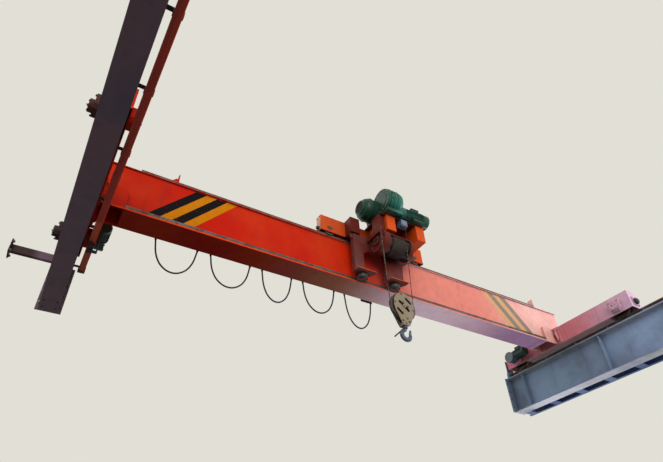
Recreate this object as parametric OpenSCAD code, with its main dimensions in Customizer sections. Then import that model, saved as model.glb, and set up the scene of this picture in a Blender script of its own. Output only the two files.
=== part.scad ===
// Single-girder overhead bridge crane with a side-hung trolley, on its two runway beams.
// X runs across the span, Y along the runway and Z up. The origin is the middle of the
// left runway beam's underside. All sizes are in millimetres.

/* [Runway] */
// Distance between the centre lines of the two rails
span = 7500; // [6500:50:9000]
// Length of each runway beam
runway_l = 6000; // [5800:50:7000]
// Height of a runway beam
beam_h = 600; // [500:10:700]
// Width of a runway beam's flanges
beam_w = 200; // [180:5:240]
// Thickness of a runway beam's flanges
beam_flange_t = 17; // [12:1:24]
// Thickness of a runway beam's web
beam_web_t = 11; // [8:1:16]
// Radius between a runway beam's web and flanges
beam_root_r = 20; // [10:1:26]
// Width of the plate that closes each end of a runway beam
beam_end_w = 270; // [240:5:300]
// Radius of an anchor hole in a runway beam's foot
anchor_hole_r = 11; // [8:0.5:14]
// Distance across the beam between two anchor holes
anchor_dx = 130; // [110:5:150]
// Distance along the beam between two anchor holes
anchor_dy = 160; // [120:5:200]

/* [Crane rail] */
// Height of the crane rail
rail_h = 90; // [70:2:110]
// Width of the crane rail's head
rail_head_w = 40; // [34:1:46]
// Width of the crane rail's foot
rail_foot_w = 80; // [60:2:100]
// Thickness of the crane rail's web
rail_web_t = 10; // [8:1:14]

/* [Side channel and ties] */
// Gap between the right beam's flange and the channel beside it
channel_gap = 165; // [120:5:220]
// Height of the side channel
channel_h = 100; // [80:5:140]
// Width of the side channel
channel_w = 50; // [40:2:70]
// Thickness of the side channel's steel
channel_t = 8; // [5:1:12]
// Distance between two batten plates
batten_pitch = 525; // [400:5:700]
// Length of a batten plate along the channel
batten_l = 125; // [80:5:180]
// Reach of the wall tie past the left beam's flange
tie_reach = 370; // [250:10:500]
// Place of the wall tie along the runway
tie_y = 2000; // [1000:50:2500]

/* [Conductor bar] */
// Distance of the conductor bar from the left rail's centre line
bar_x = 192; // [175:1:230]
// Gap between the conductor bar's hangers and the roots of the beam's top flange
bar_drop = 2; // [1:1:20]
// Width of the conductor bar's cover
bar_w = 70; // [50:2:80]
// Height of the conductor bar's cover
bar_h = 50; // [40:2:60]
// Distance between the far end of the bar and the far end of the beam
bar_end_gap = 150; // [100:10:300]
// Distance between two hangers of the conductor bar
hanger_pitch = 750; // [500:10:1000]

/* [End trucks] */
// Distance between an axle and the nearer end of its truck
axle_inset = 240; // [220:5:280]
// Distance between the trucks and the far end of the runway, where the bridge is parked
park_gap = 130; // [110:5:300]
// Length of a truck's box
truck_l = 2480; // [2450:10:2500]
// Width of a truck's box
truck_w = 250; // [230:2:290]
// Height of a truck's box
truck_h = 280; // [272:2:320]
// Thickness of a truck's side plates
truck_side_t = 10; // [6:1:14]
// Height of a truck's underside above the rail
truck_clear = 30; // [20:1:36]
// Radius of a travel wheel's tread
wheel_r = 135; // [120:1:140]
// Width of a travel wheel's tread between its flanges
tread_w = 50; // [50:1:60]
// Height of a travel wheel's flanges
wheel_flange_h = 20; // [12:1:22]
// Radius of a travel wheel's axle
axle_r = 40; // [30:1:50]
// Reach of an axle box past the side of the truck
axle_box_reach = 100; // [60:5:110]
// Length of the rubber of a buffer
buffer_l = 45; // [30:1:48]

/* [Girder] */
// Distance of the girder's middle from the trucks' middle
girder_offset = 307; // [250:1:330]
// Width of the girder's bottom flange
girder_w = 340; // [320:2:380]
// Height of the girder over both flanges
girder_h = 645; // [600:5:700]
// Thickness of the girder's bottom flange
girder_flange_t = 20; // [12:1:26]
// Thickness of the girder's top flange
girder_top_t = 12; // [8:1:20]
// Thickness of the girder's webs
girder_web_t = 8; // [6:1:12]
// Distance of each web in from the edge of the bottom flange
web_inset = 40; // [40:1:60]
// How far the top flange stands proud of each web
top_lip = 20; // [10:1:30]
// Height of the girder's underside above the rail
girder_clear = 38; // [34:1:60]
// Distance between a rail's centre line and the end of the bottom flange
girder_setback = 387; // [360:1:450]
// Thickness of the plates that seat the girder on the trucks
sole_t = 16; // [10:1:24]
// Radius of the cut-back corner of the girder's webs
corner_r = 60; // [30:5:100]
// Side of the square guide bar on the bottom flange
guide_s = 40; // [30:1:40]
// Width of the trolley's rail
top_rail_w = 40; // [30:1:44]
// Height of the trolley's rail
top_rail_h = 30; // [24:1:40]

/* [Trolley] */
// Place of the trolley's middle across the span
trolley_x = 3794; // [3700:10:3900]
// Distance of the outer crossbeams from the trolley's middle
outer_cross_dx = 474; // [440:2:520]
// Distance of the middle crossbeam from the trolley's middle
mid_cross_dx = -49; // [-80:1:-20]
// Width of a crossbeam
cross_w = 150; // [130:2:160]
// Height of a crossbeam
cross_h = 260; // [220:5:280]
// Gap between the trolley's rail and the carriage
cross_gap = 27; // [22:1:40]
// Thickness of the plates of the crossbeams and the carriage
cross_t = 10; // [6:1:14]
// Distance of the crossbeams' near ends from the rope's plane
cross_near = 20; // [15:1:40]
// How much shorter the left crossbeam is than the others
left_cross_short = 280; // [240:10:300]
// Length of the carriage on the girder's rail
carriage_l = 1790; // [1700:10:1840]
// Distance of the carriage's middle from the trolley's middle
carriage_dx = -47; // [-60:1:-20]
// Reach of the tow arm past the girder's far flange edge
tow_reach = 93; // [90:1:110]
// Radius of a trolley wheel's tread
trolley_wheel_r = 75; // [60:1:80]
// Distance of the trolley wheels from the carriage's ends
trolley_wheel_inset = 150; // [120:5:200]
// Radius of a horizontal guide roller
roller_r = 75; // [60:1:80]
// Height of a horizontal guide roller
roller_h = 50; // [40:1:60]
// Distance between the two guide rollers
roller_dx = 535; // [500:5:560]
// Distance of the guide rollers' middle from the trolley's middle
roller_mid_dx = -96; // [-110:1:-80]
// Thickness of the hanging panel
panel_t = 12; // [8:1:16]
// Gap between the drum's cover and the hanging panel
panel_gap = 13; // [8:1:20]
// Thickness of the motor platform
platform_t = 12; // [8:1:16]

/* [Rope drum and ropes] */
// Radius of the drum to the middle of the rope
drum_r = 150; // [140:1:160]
// Length of the drum's barrel
drum_l = 460; // [420:10:500]
// Distance of the drum's middle from the trolley's middle
drum_dx = 14; // [0:1:30]
// Height of the drum's axis below the crossbeams
drum_drop = 175; // [175:1:230]
// Radius of the rope
rope_r = 6; // [5:0.5:7]
// Distance between two grooves of the drum
groove_pitch = 14; // [14:1:18]
// Inner radius of the drum's cover past the rope circle
cover_clear = 8; // [8:1:14]
// Thickness of the drum's cover
cover_t = 7; // [4:1:10]
// Distance of the girder's near flange edge from the rope's plane
rope_reach = 467; // [455:1:500]

/* [Hook block] */
// Radius of the sheave to the middle of the rope
sheave_r = 177; // [165:1:190]
// Place of the sheave's axis across the trolley
sheave_dx = -96; // [-110:1:-80]
// Height of the sheave's axis
sheave_z = 165; // [0:5:300]
// Half the width of the cheek plates' oval
cheek_half_w = 150; // [130:5:180]
// Height of the cheek plates' oval above the sheave's axis
cheek_top = 190; // [180:5:210]
// Thickness of the cheek plates
cheek_t = 8; // [5:1:12]
// Width of the sheave
sheave_w = 48; // [44:2:64]
// Radius of the inside of the hook's bowl
bowl_r = 34; // [30:1:44]
// Thickness of the hook's steel at the bowl
hook_t = 56; // [40:1:60]
// Radius of the hook's shank
shank_r = 20; // [14:1:24]

/* [Festoon] */
// Distance of the festoon track from the girder's far flange edge
track_out = 63; // [60:1:75]
// Height of the festoon track above the girder's underside
track_up = 122; // [110:1:140]
// Radius of the festoon cable
cable_r = 10; // [8:1:12]
// Length of a cable carrier along the track
carrier_l = 150; // [130:2:160]
// Places of the cable carriers across the span
carrier_x = [1419, 2110, 2704, 3360];

/* [Hidden] */
$fn = 64;
fit = 0.05;          // running fit of a shaft in its bore
roll_gap = 0.3;      // gap between a wheel or roller and its track
flange_gap = 15;     // thickness of a travel wheel's flange

rail_top = beam_h + rail_h;
axle_z = rail_top + wheel_r + roll_gap;
truck_y1 = runway_l / 2 - park_gap;
truck_y0 = truck_y1 - truck_l;
bridge_y = (truck_y0 + truck_y1) / 2;
wheel_ys = [truck_y0 + axle_inset, truck_y1 - axle_inset];
truck_z0 = rail_top + truck_clear;
truck_z1 = truck_z0 + truck_h;

girder_y = bridge_y + girder_offset;
near_edge = girder_y - girder_w / 2;
far_edge = girder_y + girder_w / 2;
girder_z0 = rail_top + girder_clear;
girder_z1 = girder_z0 + girder_h;
girder_x0 = girder_setback;
girder_x1 = span - girder_setback;
girder_end0 = -truck_w / 2;
girder_end1 = span + truck_w / 2;
sole_z1 = truck_z1 + sole_t;
near_web = near_edge + web_inset;
far_web = far_edge - web_inset - girder_web_t;
flange_top = girder_z0 + girder_flange_t;
rail_y = near_web + girder_web_t / 2;
top_rail_z = girder_z1 + top_rail_h;

cross_xs = [trolley_x - outer_cross_dx, trolley_x + mid_cross_dx, trolley_x + outer_cross_dx];
cross_z0 = top_rail_z + cross_gap;
cross_z1 = cross_z0 + cross_h;
rope_y = near_edge - rope_reach;
cross_y0 = rope_y + cross_near;
tow_y = far_edge + tow_reach;
platform_z = cross_z1 + platform_t;

carriage_x0 = trolley_x + carriage_dx - carriage_l / 2;
carriage_x1 = carriage_x0 + carriage_l;
trolley_wheel_xs = [carriage_x0 + trolley_wheel_inset, carriage_x1 - trolley_wheel_inset];
trolley_axle_z = top_rail_z + trolley_wheel_r + roll_gap;
trolley_axle_r = 20;
trolley_flange_h = 13;
trolley_tread_w = top_rail_w + 10;
trolley_rim = 12;
rim_gap = 7;
carriage_half = trolley_tread_w / 2 + trolley_rim + rim_gap + cross_t;
carriage_y0 = rail_y - carriage_half;
carriage_y1 = rail_y + carriage_half;

drum_y = rope_y + drum_r;
drum_z = cross_z0 - drum_drop;
drum_mid = trolley_x + drum_dx;
drum_x0 = drum_mid - drum_l / 2;
drum_x1 = drum_mid + drum_l / 2;
drum_shaft_r = 35;
barrel_r = drum_r - rope_r - roll_gap;
cover_r0 = drum_r + cover_clear;
cover_r1 = cover_r0 + cover_t;
cover_end_gap = 15;
cover_end_t = 10;
shaft_reach = 30;

panel_y0 = drum_y + cover_r1 + panel_gap;
panel_y1 = panel_y0 + panel_t;
roller_y = near_edge - roller_r - roll_gap;
roller_z = flange_top + guide_s / 2;
roller_mid = trolley_x + roller_mid_dx;
roller_xs = [roller_mid - roller_dx / 2, roller_mid + roller_dx / 2];
roller_pin_r = 15;
shelf_z0 = roller_z + roller_h / 2 + 12;
shelf_t = 12;

sheave_x = trolley_x + sheave_dx;
fall_x = [sheave_x - sheave_r, sheave_x + sheave_r];
rope_leave_x = fall_x[1] + 70;
cheek_gap = sheave_w / 2 + 10;
sheave_pin_r = 25;
trunnion_r = 15;
trunnion_z = -237;   // height of the crosshead's middle above the sheave's axis

track_y = far_edge + track_out;
track_z = girder_z0 + track_up;
loop_top = track_z - 50;

// Colours of the finishes
runway_paint = [0.24, 0.18, 0.21];
girder_paint = [0.75, 0.13, 0.03];
trolley_paint = [0.62, 0.16, 0.05];
cover_paint = [0.85, 0.32, 0.08];
motor_paint = [0.10, 0.35, 0.28];
block_paint = [0.60, 0.53, 0.42];
bare_steel = [0.40, 0.36, 0.34];
rubber_black = [0.08, 0.08, 0.09];
conductor_red = [0.45, 0.08, 0.05];

// A box between two opposite corners
module box(a, b)
    translate(a)
        cube(b - a);

// A flat outline (x, z) drawn out along Y
module along_y(y0, y1)
    translate([0, y1, 0])
        rotate([90, 0, 0])
            linear_extrude(y1 - y0)
                children();

// A flat outline (y, z) drawn out along X
module along_x(x0, x1)
    translate([x0, 0, 0])
        rotate([90, 0, 90])
            linear_extrude(x1 - x0)
                children();

module rod_x(x0, x1, r)
    translate([x0, 0, 0])
        rotate([0, 90, 0])
            cylinder(h = x1 - x0, r = r);

module rod_y(y0, y1, r)
    translate([0, y1, 0])
        rotate([90, 0, 0])
            cylinder(h = y1 - y0, r = r);

module rod_z(z0, z1, r)
    translate([0, 0, z0])
        cylinder(h = z1 - z0, r = r);

// A ring section turned about X, its outline in (radius, x)
module turned_x()
    rotate([0, 90, 0])
        rotate_extrude()
            children();

// A ring section turned about Y, its outline in (radius, y)
module turned_y()
    rotate([-90, 0, 0])
        rotate_extrude()
            children();

// A slot with round ends, its middle at the origin
module slot_2d(l, w) {
    square([l - w, w], center = true);
    for (s = [-1, 1])
        translate([s * (l - w) / 2, 0])
            circle(d = w);
}

// Puts a truck's own shape on the left rail, or mirrored on the right one
module on_rail(right)
    translate([right ? span : 0, 0, 0])
        mirror([right ? 1 : 0, 0, 0])
            children();

// Runway

module i_profile(w, h, flange_t, web_t, root_r)
    difference() {
        translate([-w / 2, 0])
            square([w, h]);
        for (side = [0, 1])
            mirror([side, 0])
                i_recess(w, h, flange_t, web_t, root_r);
    }

// The hollow beside an I-beam's web, with rounded roots
module i_recess(w, h, flange_t, web_t, root_r)
    difference() {
        translate([web_t / 2, flange_t])
            square([w / 2, h - 2 * flange_t]);
        for (top = [0, 1])
            translate([web_t / 2, top ? h - flange_t : flange_t])
                mirror([0, top])
                    root_2d(root_r);
    }

// The concave corner left by a root radius
module root_2d(r)
    difference() {
        translate([-1, -1])
            square(r + 1);
        translate([r, r])
            circle(r = r);
    }

module runway_beam(x, outer) {
    end_t = 20;
    rib_t = 10;
    rib_from_end = 330;
    rib_y = 1100;
    half = runway_l / 2;
    translate([x, 0, 0])
        difference() {
            union() {
                along_y(-half, half)
                    i_profile(beam_w, beam_h, beam_flange_t, beam_web_t, beam_root_r);
                for (s = [-1, 1]) {
                    box([-beam_end_w / 2, s * half - (s > 0 ? end_t : 0), 0],
                        [beam_end_w / 2, s * half + (s > 0 ? 0 : end_t), beam_h]);
                    beam_rib(s * (half - rib_from_end), rib_t);
                }
                for (y = [-rib_y, rib_y])
                    beam_rib(y, rib_t);
            }
            for (s = [-1, 1])
                translate([0, s * (half - end_t - anchor_dy), 0])
                    for (dx = [-1, 1], dy = [-1, 1])
                        translate([dx * anchor_dx / 2, dy * anchor_dy / 2, 0])
                            rod_z(-1, beam_flange_t + 1, anchor_hole_r);
        }
}

// A pair of web stiffeners with clipped corners
module beam_rib(y, t)
    along_y(y - t / 2, y + t / 2)
        difference() {
            translate([-beam_w / 2 + 8, beam_flange_t / 2])
                square([beam_w - 16, beam_h - beam_flange_t]);
            for (s = [-1, 1], top = [0, 1])
                translate([s * beam_web_t / 2, top ? beam_h - beam_flange_t : beam_flange_t])
                    circle(r = beam_root_r + 5);
        }

module runway_beam_left()
    color(runway_paint)
        runway_beam(0);

module runway_beam_right()
    color(runway_paint)
        runway_beam(span);

module rail_profile() {
    head_h = 22;
    foot_edge = 6;
    foot_h = 16;
    crown = 4;
    polygon([
        [-rail_foot_w / 2, 0],
        [rail_foot_w / 2, 0],
        [rail_foot_w / 2, foot_edge],
        [rail_web_t / 2, foot_h],
        [rail_web_t / 2, rail_h - head_h - 5],
        [rail_head_w / 2, rail_h - head_h],
        [rail_head_w / 2, rail_h - crown],
        [rail_head_w / 2 - crown, rail_h],
        [-rail_head_w / 2 + crown, rail_h],
        [-rail_head_w / 2, rail_h - crown],
        [-rail_head_w / 2, rail_h - head_h],
        [-rail_web_t / 2, rail_h - head_h - 5],
        [-rail_web_t / 2, foot_h],
        [-rail_foot_w / 2, foot_edge]
    ]);
}

stop_gap = 10;                                  // gap left between a buffer and its stop
buffer_plate_t = 10;
stop_face = truck_y1 + buffer_plate_t + buffer_l + stop_gap;

module crane_rails()
    color(bare_steel)
        for (x = [0, span])
            translate([x, 0, beam_h])
                along_y(-stop_face + 5, stop_face - 5)
                    rail_profile();

module end_stops()
    color(runway_paint)
        for (x = [0, span], s = [0, 1])
            translate([x, 0, 0])
                mirror([0, s, 0])
                    end_stop();

module end_stop() {
    plate_t = 15;
    w = 160;
    top = axle_z + 90;
    y1 = runway_l / 2;
    box([-w / 2, stop_face, beam_h], [w / 2, y1, beam_h + plate_t]);
    box([-w / 2, stop_face, beam_h], [w / 2, stop_face + plate_t, top]);
    for (x = [-w / 4, w / 4])
        along_x_at(x, 10)
            polygon([
                [stop_face, beam_h],
                [y1, beam_h],
                [y1, beam_h + 80],
                [stop_face + plate_t, top - 30],
                [stop_face, top - 30]
            ]);
}

// A plate of thickness t about x, its outline in (y, z)
module along_x_at(x, t)
    along_x(x - t / 2, x + t / 2)
        children();

module channel_profile(w, h, t) {
    square([t, h]);
    square([w, t]);
    translate([0, h - t])
        square([w, t]);
}

module side_channel() {
    flange_x = span + beam_w / 2;
    half = runway_l / 2;
    count = floor((runway_l - batten_l) / batten_pitch);
    first = -count * batten_pitch / 2;
    color(runway_paint) {
        translate([flange_x + channel_gap + channel_w, 0, 0])
            mirror([1, 0, 0])
                along_y(-half, half)
                    channel_profile(channel_w, channel_h, channel_t);
        for (i = [0:count]) {
            y = first + i * batten_pitch;
            box([flange_x, y - batten_l / 2, 0],
                [flange_x + channel_gap + channel_w / 2, y + batten_l / 2, channel_t]);
        }
    }
}

module wall_tie() {
    h = 80;
    plate = 140;
    plate_t = 12;
    x0 = -beam_w / 2 - tie_reach;
    color(runway_paint) {
        translate([0, tie_y, beam_flange_t])
            along_x(x0, -beam_w / 2 + 30)
                channel_profile(40, h, 6);
        translate([x0 - plate_t, tie_y - plate / 2 + 20, beam_flange_t + h / 2 - plate / 2])
            cube([plate_t, plate, plate]);
    }
}

// Conductor bar

bar_y0 = -runway_l / 2;
bar_y1 = runway_l / 2 - bar_end_gap;
hanger_t = 6;
hanger_arm_z = beam_h - beam_flange_t - beam_root_r - bar_drop - hanger_t;
bar_z = hanger_arm_z - bar_h / 2;

module conductor_bar() {
    slot_w = 14;
    wall = 6;
    color(conductor_red)
        translate([bar_x, 0, bar_z])
            along_y(bar_y0, bar_y1)
                difference() {
                    translate([-bar_w / 2, -bar_h / 2])
                        square([bar_w, bar_h]);
                    for (side = [0, 1])
                        mirror([side, 0]) {
                            translate([wall / 2, -bar_h / 2 + wall])
                                square([bar_w / 2 - 1.5 * wall, bar_h - 2 * wall]);
                            translate([bar_w / 4 - slot_w / 2, -bar_h / 2 - 1])
                                square([slot_w, wall + 2]);
                        }
                }
}

hanger_ys = concat(
    [for (y = [-hanger_pitch * 3:hanger_pitch:hanger_pitch * 3]) y],
    [bar_y1 - 30]
);

module conductor_hangers()
    color(rubber_black)
        for (y = hanger_ys)
            translate([0, y, 0])
                conductor_hanger();

// A bracket on the beam's web and a clip round the bar
module conductor_hanger() {
    strip = 40;
    drop = 100;
    t = hanger_t;
    arm_z = hanger_arm_z;
    x0 = beam_web_t / 2;
    box([x0, -strip / 2, arm_z], [bar_x + bar_w / 2 + t, strip / 2, arm_z + t]);
    box([x0, -strip / 2, arm_z - drop], [x0 + t, strip / 2, arm_z + t]);
    for (s = [-1, 1])
        translate([bar_x + s * (bar_w / 2 + t / 2), 0, 0])
            box([-t / 2, -strip / 2, bar_z - bar_h / 2], [t / 2, strip / 2, arm_z]);
}

// End trucks

module end_truck(right) {
    half = truck_w / 2;
    plate = 12;
    pocket = wheel_r + wheel_flange_h + 25;
    inner = half - truck_side_t;
    hole_r = axle_r + 10;
    color(girder_paint)
        on_rail(right)
            difference() {
                union() {
                    for (s = [-1, 1])
                        translate([s * (half - truck_side_t / 2), 0, 0])
                            box([-truck_side_t / 2, truck_y0, truck_z0],
                                [truck_side_t / 2, truck_y1, truck_z1]);
                    box([-inner, truck_y0, truck_z1 - plate], [inner, truck_y1, truck_z1]);
                    box([-inner, truck_y0, truck_z0], [inner, truck_y0 + plate, truck_z1]);
                    box([-inner, truck_y1 - plate, truck_z0], [inner, truck_y1, truck_z1]);
                    box([-inner, wheel_ys[0] + pocket, truck_z0],
                        [inner, wheel_ys[1] - pocket, truck_z0 + plate]);
                    for (y = [wheel_ys[0] + pocket, wheel_ys[1] - pocket - plate])
                        box([-inner, y, truck_z0], [inner, y + plate, truck_z1]);
                }
                for (y = wheel_ys)
                    translate([0, y, axle_z])
                        rod_x(-half - 1, half + 1, hole_r);
            }
}

module end_truck_left()
    end_truck(false);

module end_truck_right()
    end_truck(true);

module axle_boxes()
    color(girder_paint)
        for (right = [false, true], y = wheel_ys)
            on_rail(right)
                for (s = [-1, 1])
                    translate([0, y, axle_z])
                        mirror([s < 0 ? 1 : 0, 0, 0])
                            axle_box();

// A bearing housing with a round cover on a truck's side
module axle_box() {
    side = 180;
    x0 = truck_w / 2;
    body_t = axle_box_reach * 0.6;
    difference() {
        union() {
            difference() {
                box([x0, -side / 2, -side / 2 + 10], [x0 + body_t, side / 2, side / 2]);
                for (sy = [-1, 1])
                    translate([0, sy * side / 2, -side / 2 + 10])
                        rotate([45, 0, 0])
                            box([x0 - 1, -25, -25], [x0 + body_t + 1, 25, 25]);
            }
            rod_x(x0, x0 + axle_box_reach, 65);
        }
        rod_x(x0 - 1, x0 + axle_box_reach - 10, axle_r + fit);
    }
}

module truck_buffers()
    for (right = [false, true], s = [0, 1])
        on_rail(right)
            translate([0, bridge_y, axle_z])
                mirror([0, s, 0])
                    translate([0, truck_l / 2, 0])
                        buffer();

module buffer() {
    r = 50;
    side = 140;
    color(girder_paint)
        box([-side / 2, 0, -side / 2], [side / 2, buffer_plate_t, side / 2]);
    color(rubber_black) {
        rod_y(buffer_plate_t, buffer_plate_t + buffer_l * 0.6, r);
        translate([0, buffer_plate_t + buffer_l * 0.6, 0])
            rotate([-90, 0, 0])
                cylinder(h = buffer_l * 0.4, r1 = r, r2 = r * 0.6);
    }
}

// A travel wheel and its axle, turned about X
module travel_wheel(x, y) {
    hub_half = 60;
    hub_r = 70;
    rim_r = wheel_r - 28;
    web_half = 15;
    tread_half = tread_w / 2;
    rim_half = tread_half + flange_gap;
    axle_half = truck_w / 2 + axle_box_reach - 12;
    flange_r = wheel_r + wheel_flange_h;
    color(bare_steel)
        translate([x, y, axle_z])
            turned_x()
                polygon([
                    [0, -axle_half], [axle_r, -axle_half],
                    [axle_r, -hub_half], [hub_r, -hub_half],
                    [hub_r, -web_half], [rim_r, -web_half],
                    [rim_r, -rim_half], [flange_r - 4, -rim_half],
                    [flange_r, -rim_half + 6], [wheel_r, -tread_half],
                    [wheel_r, tread_half], [flange_r, rim_half - 6],
                    [flange_r - 4, rim_half], [rim_r, rim_half],
                    [rim_r, web_half], [hub_r, web_half],
                    [hub_r, hub_half], [axle_r, hub_half],
                    [axle_r, axle_half], [0, axle_half]
                ]);
}

// A travel drive: a gearbox on the far axle's inner side and a motor along the truck
module travel_drives()
    for (right = [false, true])
        on_rail(right)
            travel_drive();

module travel_drive() {
    x0 = truck_w / 2 + axle_box_reach;
    depth = 110;
    motor_r = 72;
    motor_l = 210;
    foot_t = 12;
    y = wheel_ys[1];
    motor_y = y - 95;
    color(motor_paint) {
        translate([0, y, axle_z])
            rod_x(x0, x0 + depth, 90);
        box([x0 + 10, motor_y, axle_z - 60], [x0 + depth - 10, y, axle_z + 60]);
        translate([x0 + depth / 2, 0, axle_z]) {
            rod_y(motor_y - motor_l, motor_y, motor_r);
            rod_y(motor_y - motor_l - 35, motor_y - motor_l, motor_r - 8);
            rod_y(motor_y - 14, motor_y, motor_r + 10);
        }
    }
    color(girder_paint)
        box([truck_w / 2, motor_y - 60, axle_z + 60 - foot_t], [x0 + depth - 10, motor_y, axle_z + 60]);
}

module collector_arm() {
    y = wheel_ys[1] - 380;
    x0 = truck_w / 2;
    top = bar_z - bar_h / 2;
    color(rubber_black) {
        box([x0, y - 20, truck_z0 + 20], [bar_x + bar_w / 2 + 45, y + 20, truck_z0 + 35]);
        box([bar_x + bar_w / 2 + 30, y - 20, top - 90], [bar_x + bar_w / 2 + 45, y + 20, truck_z0 + 20]);
        box([bar_x - 20, y - 20, top - 90], [bar_x + bar_w / 2 + 45, y + 20, top - 75]);
        box([bar_x - 30, y - 60, top - 75], [bar_x + 30, y + 60, top - 12]);
    }
}

// Girder

module girder_bottom_flange()
    color(girder_paint)
        box([girder_x0, near_edge, girder_z0], [girder_x1, far_edge, flange_top]);

module girder_top_flange()
    color(girder_paint)
        box([girder_end0, near_web - top_lip, girder_z1 - girder_top_t],
            [girder_end1, far_web + girder_web_t + top_lip, girder_z1]);

module web_outline() {
    top = girder_z1 - girder_top_t;
    difference() {
        translate([girder_end0, flange_top])
            square([girder_end1 - girder_end0, top - flange_top]);
        for (right = [0, 1])
            translate([right ? girder_end1 : girder_end0, 0])
                mirror([right, 0])
                    web_cutback();
    }
}

// The web's lower corner, cut back with a round re-entrant corner
module web_cutback()
    translate([-1, 0])
        round_cornered(girder_setback - girder_end0 + 1, sole_z1, corner_r);

// A rectangle whose upper right corner is round
module round_cornered(l, h, r)
    difference() {
        square([l, h]);
        translate([l - r, h - r])
            difference() {
                square(r + 1);
                circle(r = r);
            }
    }

module girder_webs()
    color(girder_paint)
        for (y = [near_web, far_web])
            along_y(y, y + girder_web_t)
                web_outline();

module girder_ends()
    color(girder_paint)
        for (right = [false, true])
            on_rail(right)
                girder_end();

// The bent plate that seats the girder on a truck and closes its deep part, and the end plate
module girder_end() {
    along_y(near_edge, far_edge)
        difference() {
            translate([girder_end0, 0])
                round_cornered(girder_setback - girder_end0, sole_z1, corner_r);
            seat_inside_2d();
            translate([girder_end0 - 1, -1])
                square([girder_setback - girder_end0 + 2, girder_z0 + 1]);
        }
    box([girder_end0, near_web + girder_web_t, sole_z1],
        [girder_end0 + girder_end_t, far_web, girder_z1 - girder_top_t]);
}

girder_end_t = 12;

// The room under the bent plate, from the floor up to the truck's top
module seat_inside_2d()
    translate([girder_end0 - 1, -1])
        round_cornered(
            girder_setback - girder_end_t - girder_end0 + 1,
            truck_z1 + 1,
            corner_r - girder_end_t
        );

module guide_bar()
    color(bare_steel)
        box([girder_x0, near_edge, flange_top], [girder_x1, near_edge + guide_s, flange_top + guide_s]);

top_rail_x = [girder_setback + 60, span - girder_setback - 20];
stop_inset = 500;   // place of the left trolley stop past the bottom flange's end
stop_xs = [girder_setback + stop_inset, top_rail_x[1]];

module top_rail()
    color(bare_steel)
        translate([0, rail_y, girder_z1])
            box([top_rail_x[0], -top_rail_w / 2, 0], [top_rail_x[1], top_rail_w / 2, top_rail_h]);

module trolley_stops()
    color(girder_paint)
        for (right = [0, 1])
            translate([right ? stop_xs[1] : stop_xs[0], 0, 0])
                mirror([right, 0, 0])
                    trolley_stop();

// A plate over the rail, with a rib behind it, that meets the end of the carriage
module trolley_stop() {
    t = 12;
    h = 150;
    rib_l = 110;
    y0 = near_web - top_lip;
    y1 = rail_y + 70;
    along_x(-t, 0)
        difference() {
            translate([y0, girder_z1])
                square([y1 - y0, h]);
            translate([rail_y - top_rail_w / 2, girder_z1 - 1])
                square([top_rail_w, top_rail_h + 1]);
        }
    along_y(y1 - 20 - t, y1 - 20)
        polygon([
            [-t, girder_z1],
            [-t, girder_z1 + h - 20],
            [-t - 20, girder_z1 + h - 20],
            [-t - rib_l, girder_z1 + 20],
            [-t - rib_l, girder_z1]
        ]);
}

// Bolted brackets that hold the girder's lower part to the trucks
module truck_brackets()
    color(girder_paint)
        for (right = [false, true], far = [0, 1])
            on_rail(right)
                translate([0, girder_y, 0])
                    mirror([0, far, 0])
                        truck_bracket();

module truck_bracket() {
    x0 = truck_w / 2;
    t = 14;
    y0 = -girder_w / 2;
    rib_h = truck_z1 - girder_z0;
    box([x0, y0 - 100, girder_z0], [x0 + t, y0 + 70, truck_z1]);
    along_y(y0, y0 + t)
        intersection() {
            translate([x0 + t, girder_z0])
                square([girder_setback, rib_h]);
            seat_inside_2d();
        }
    along_y(y0 - 60, y0 - 60 + t)
        polygon([
            [x0, girder_z0 + 20],
            [x0 + 30, girder_z0 + 20],
            [x0 + 70, girder_z0 + rib_h * 0.5],
            [x0 + 30, truck_z1 - 20],
            [x0, truck_z1 - 20]
        ]);
}

// Festoon

module c_rail_2d(w, h, t, mouth)
    difference() {
        translate([-w / 2, 0])
            square([w, h]);
        translate([-w / 2 + t, t])
            square([w - 2 * t, h - 2 * t]);
        translate([-mouth / 2, -1])
            square([mouth, t + 2]);
    }

module festoon_track() {
    w = 50;
    h = 42;
    t = 4;
    count = 8;
    x0 = top_rail_x[0];
    x1 = top_rail_x[1];
    clamp_x = loop_start_x[0];
    color(bare_steel) {
        box([clamp_x - 60, track_y - 18, loop_top], [clamp_x + 25, track_y + 18, track_z]);
        translate([0, track_y, track_z])
            along_x(x0, x1)
                c_rail_2d(w, h, t, 18);
        for (i = [0:count]) {
            x = x0 + 60 + i * (x1 - x0 - 120) / count;
            box([x - 20, far_web + girder_web_t, track_z + h],
                [x + 20, track_y + w / 2, track_z + h + 8]);
            box([x - 20, far_web + girder_web_t, track_z + h],
                [x + 20, far_web + girder_web_t + 8, track_z + h + 70]);
        }
    }
}

// A cable carrier: two rollers in the track and a saddle for the cable below it
module carrier(i) {
    x = carrier_x[i];
    wheel_r = 12;
    color(rubber_black)
        translate([x, track_y, track_z]) {
            for (s = [-1, 1])
                translate([s * 45, 0, 4 + wheel_r + 1])
                    rod_y(-18, 18, wheel_r);
            box([-50, -5, -20], [50, 5, 4 + wheel_r + 6]);
            box([-carrier_l / 2 - cable_r, -18, -50], [carrier_l / 2 + cable_r, 18, -18]);
        }
}

// Routes of the five cable loops: x along the span from the loop's start, z below its top
loop_start_x = [829, 1504, 2195, 2789, 3445];
loop_end_x = [1334, 2025, 2619, 3275, 3885];
loop_depth = [430, 420, 445, 430, 500];
loop_exit = 20;

// Share of the loop's width and depth at each point of a route
loop_shape = [
    [0, 0], [0.02, 0.2], [0.07, 0.5], [0.18, 0.78], [0.34, 0.95], [0.5, 1],
    [0.66, 0.95], [0.82, 0.78], [0.93, 0.5], [0.98, 0.2], [1, 0]
];

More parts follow.
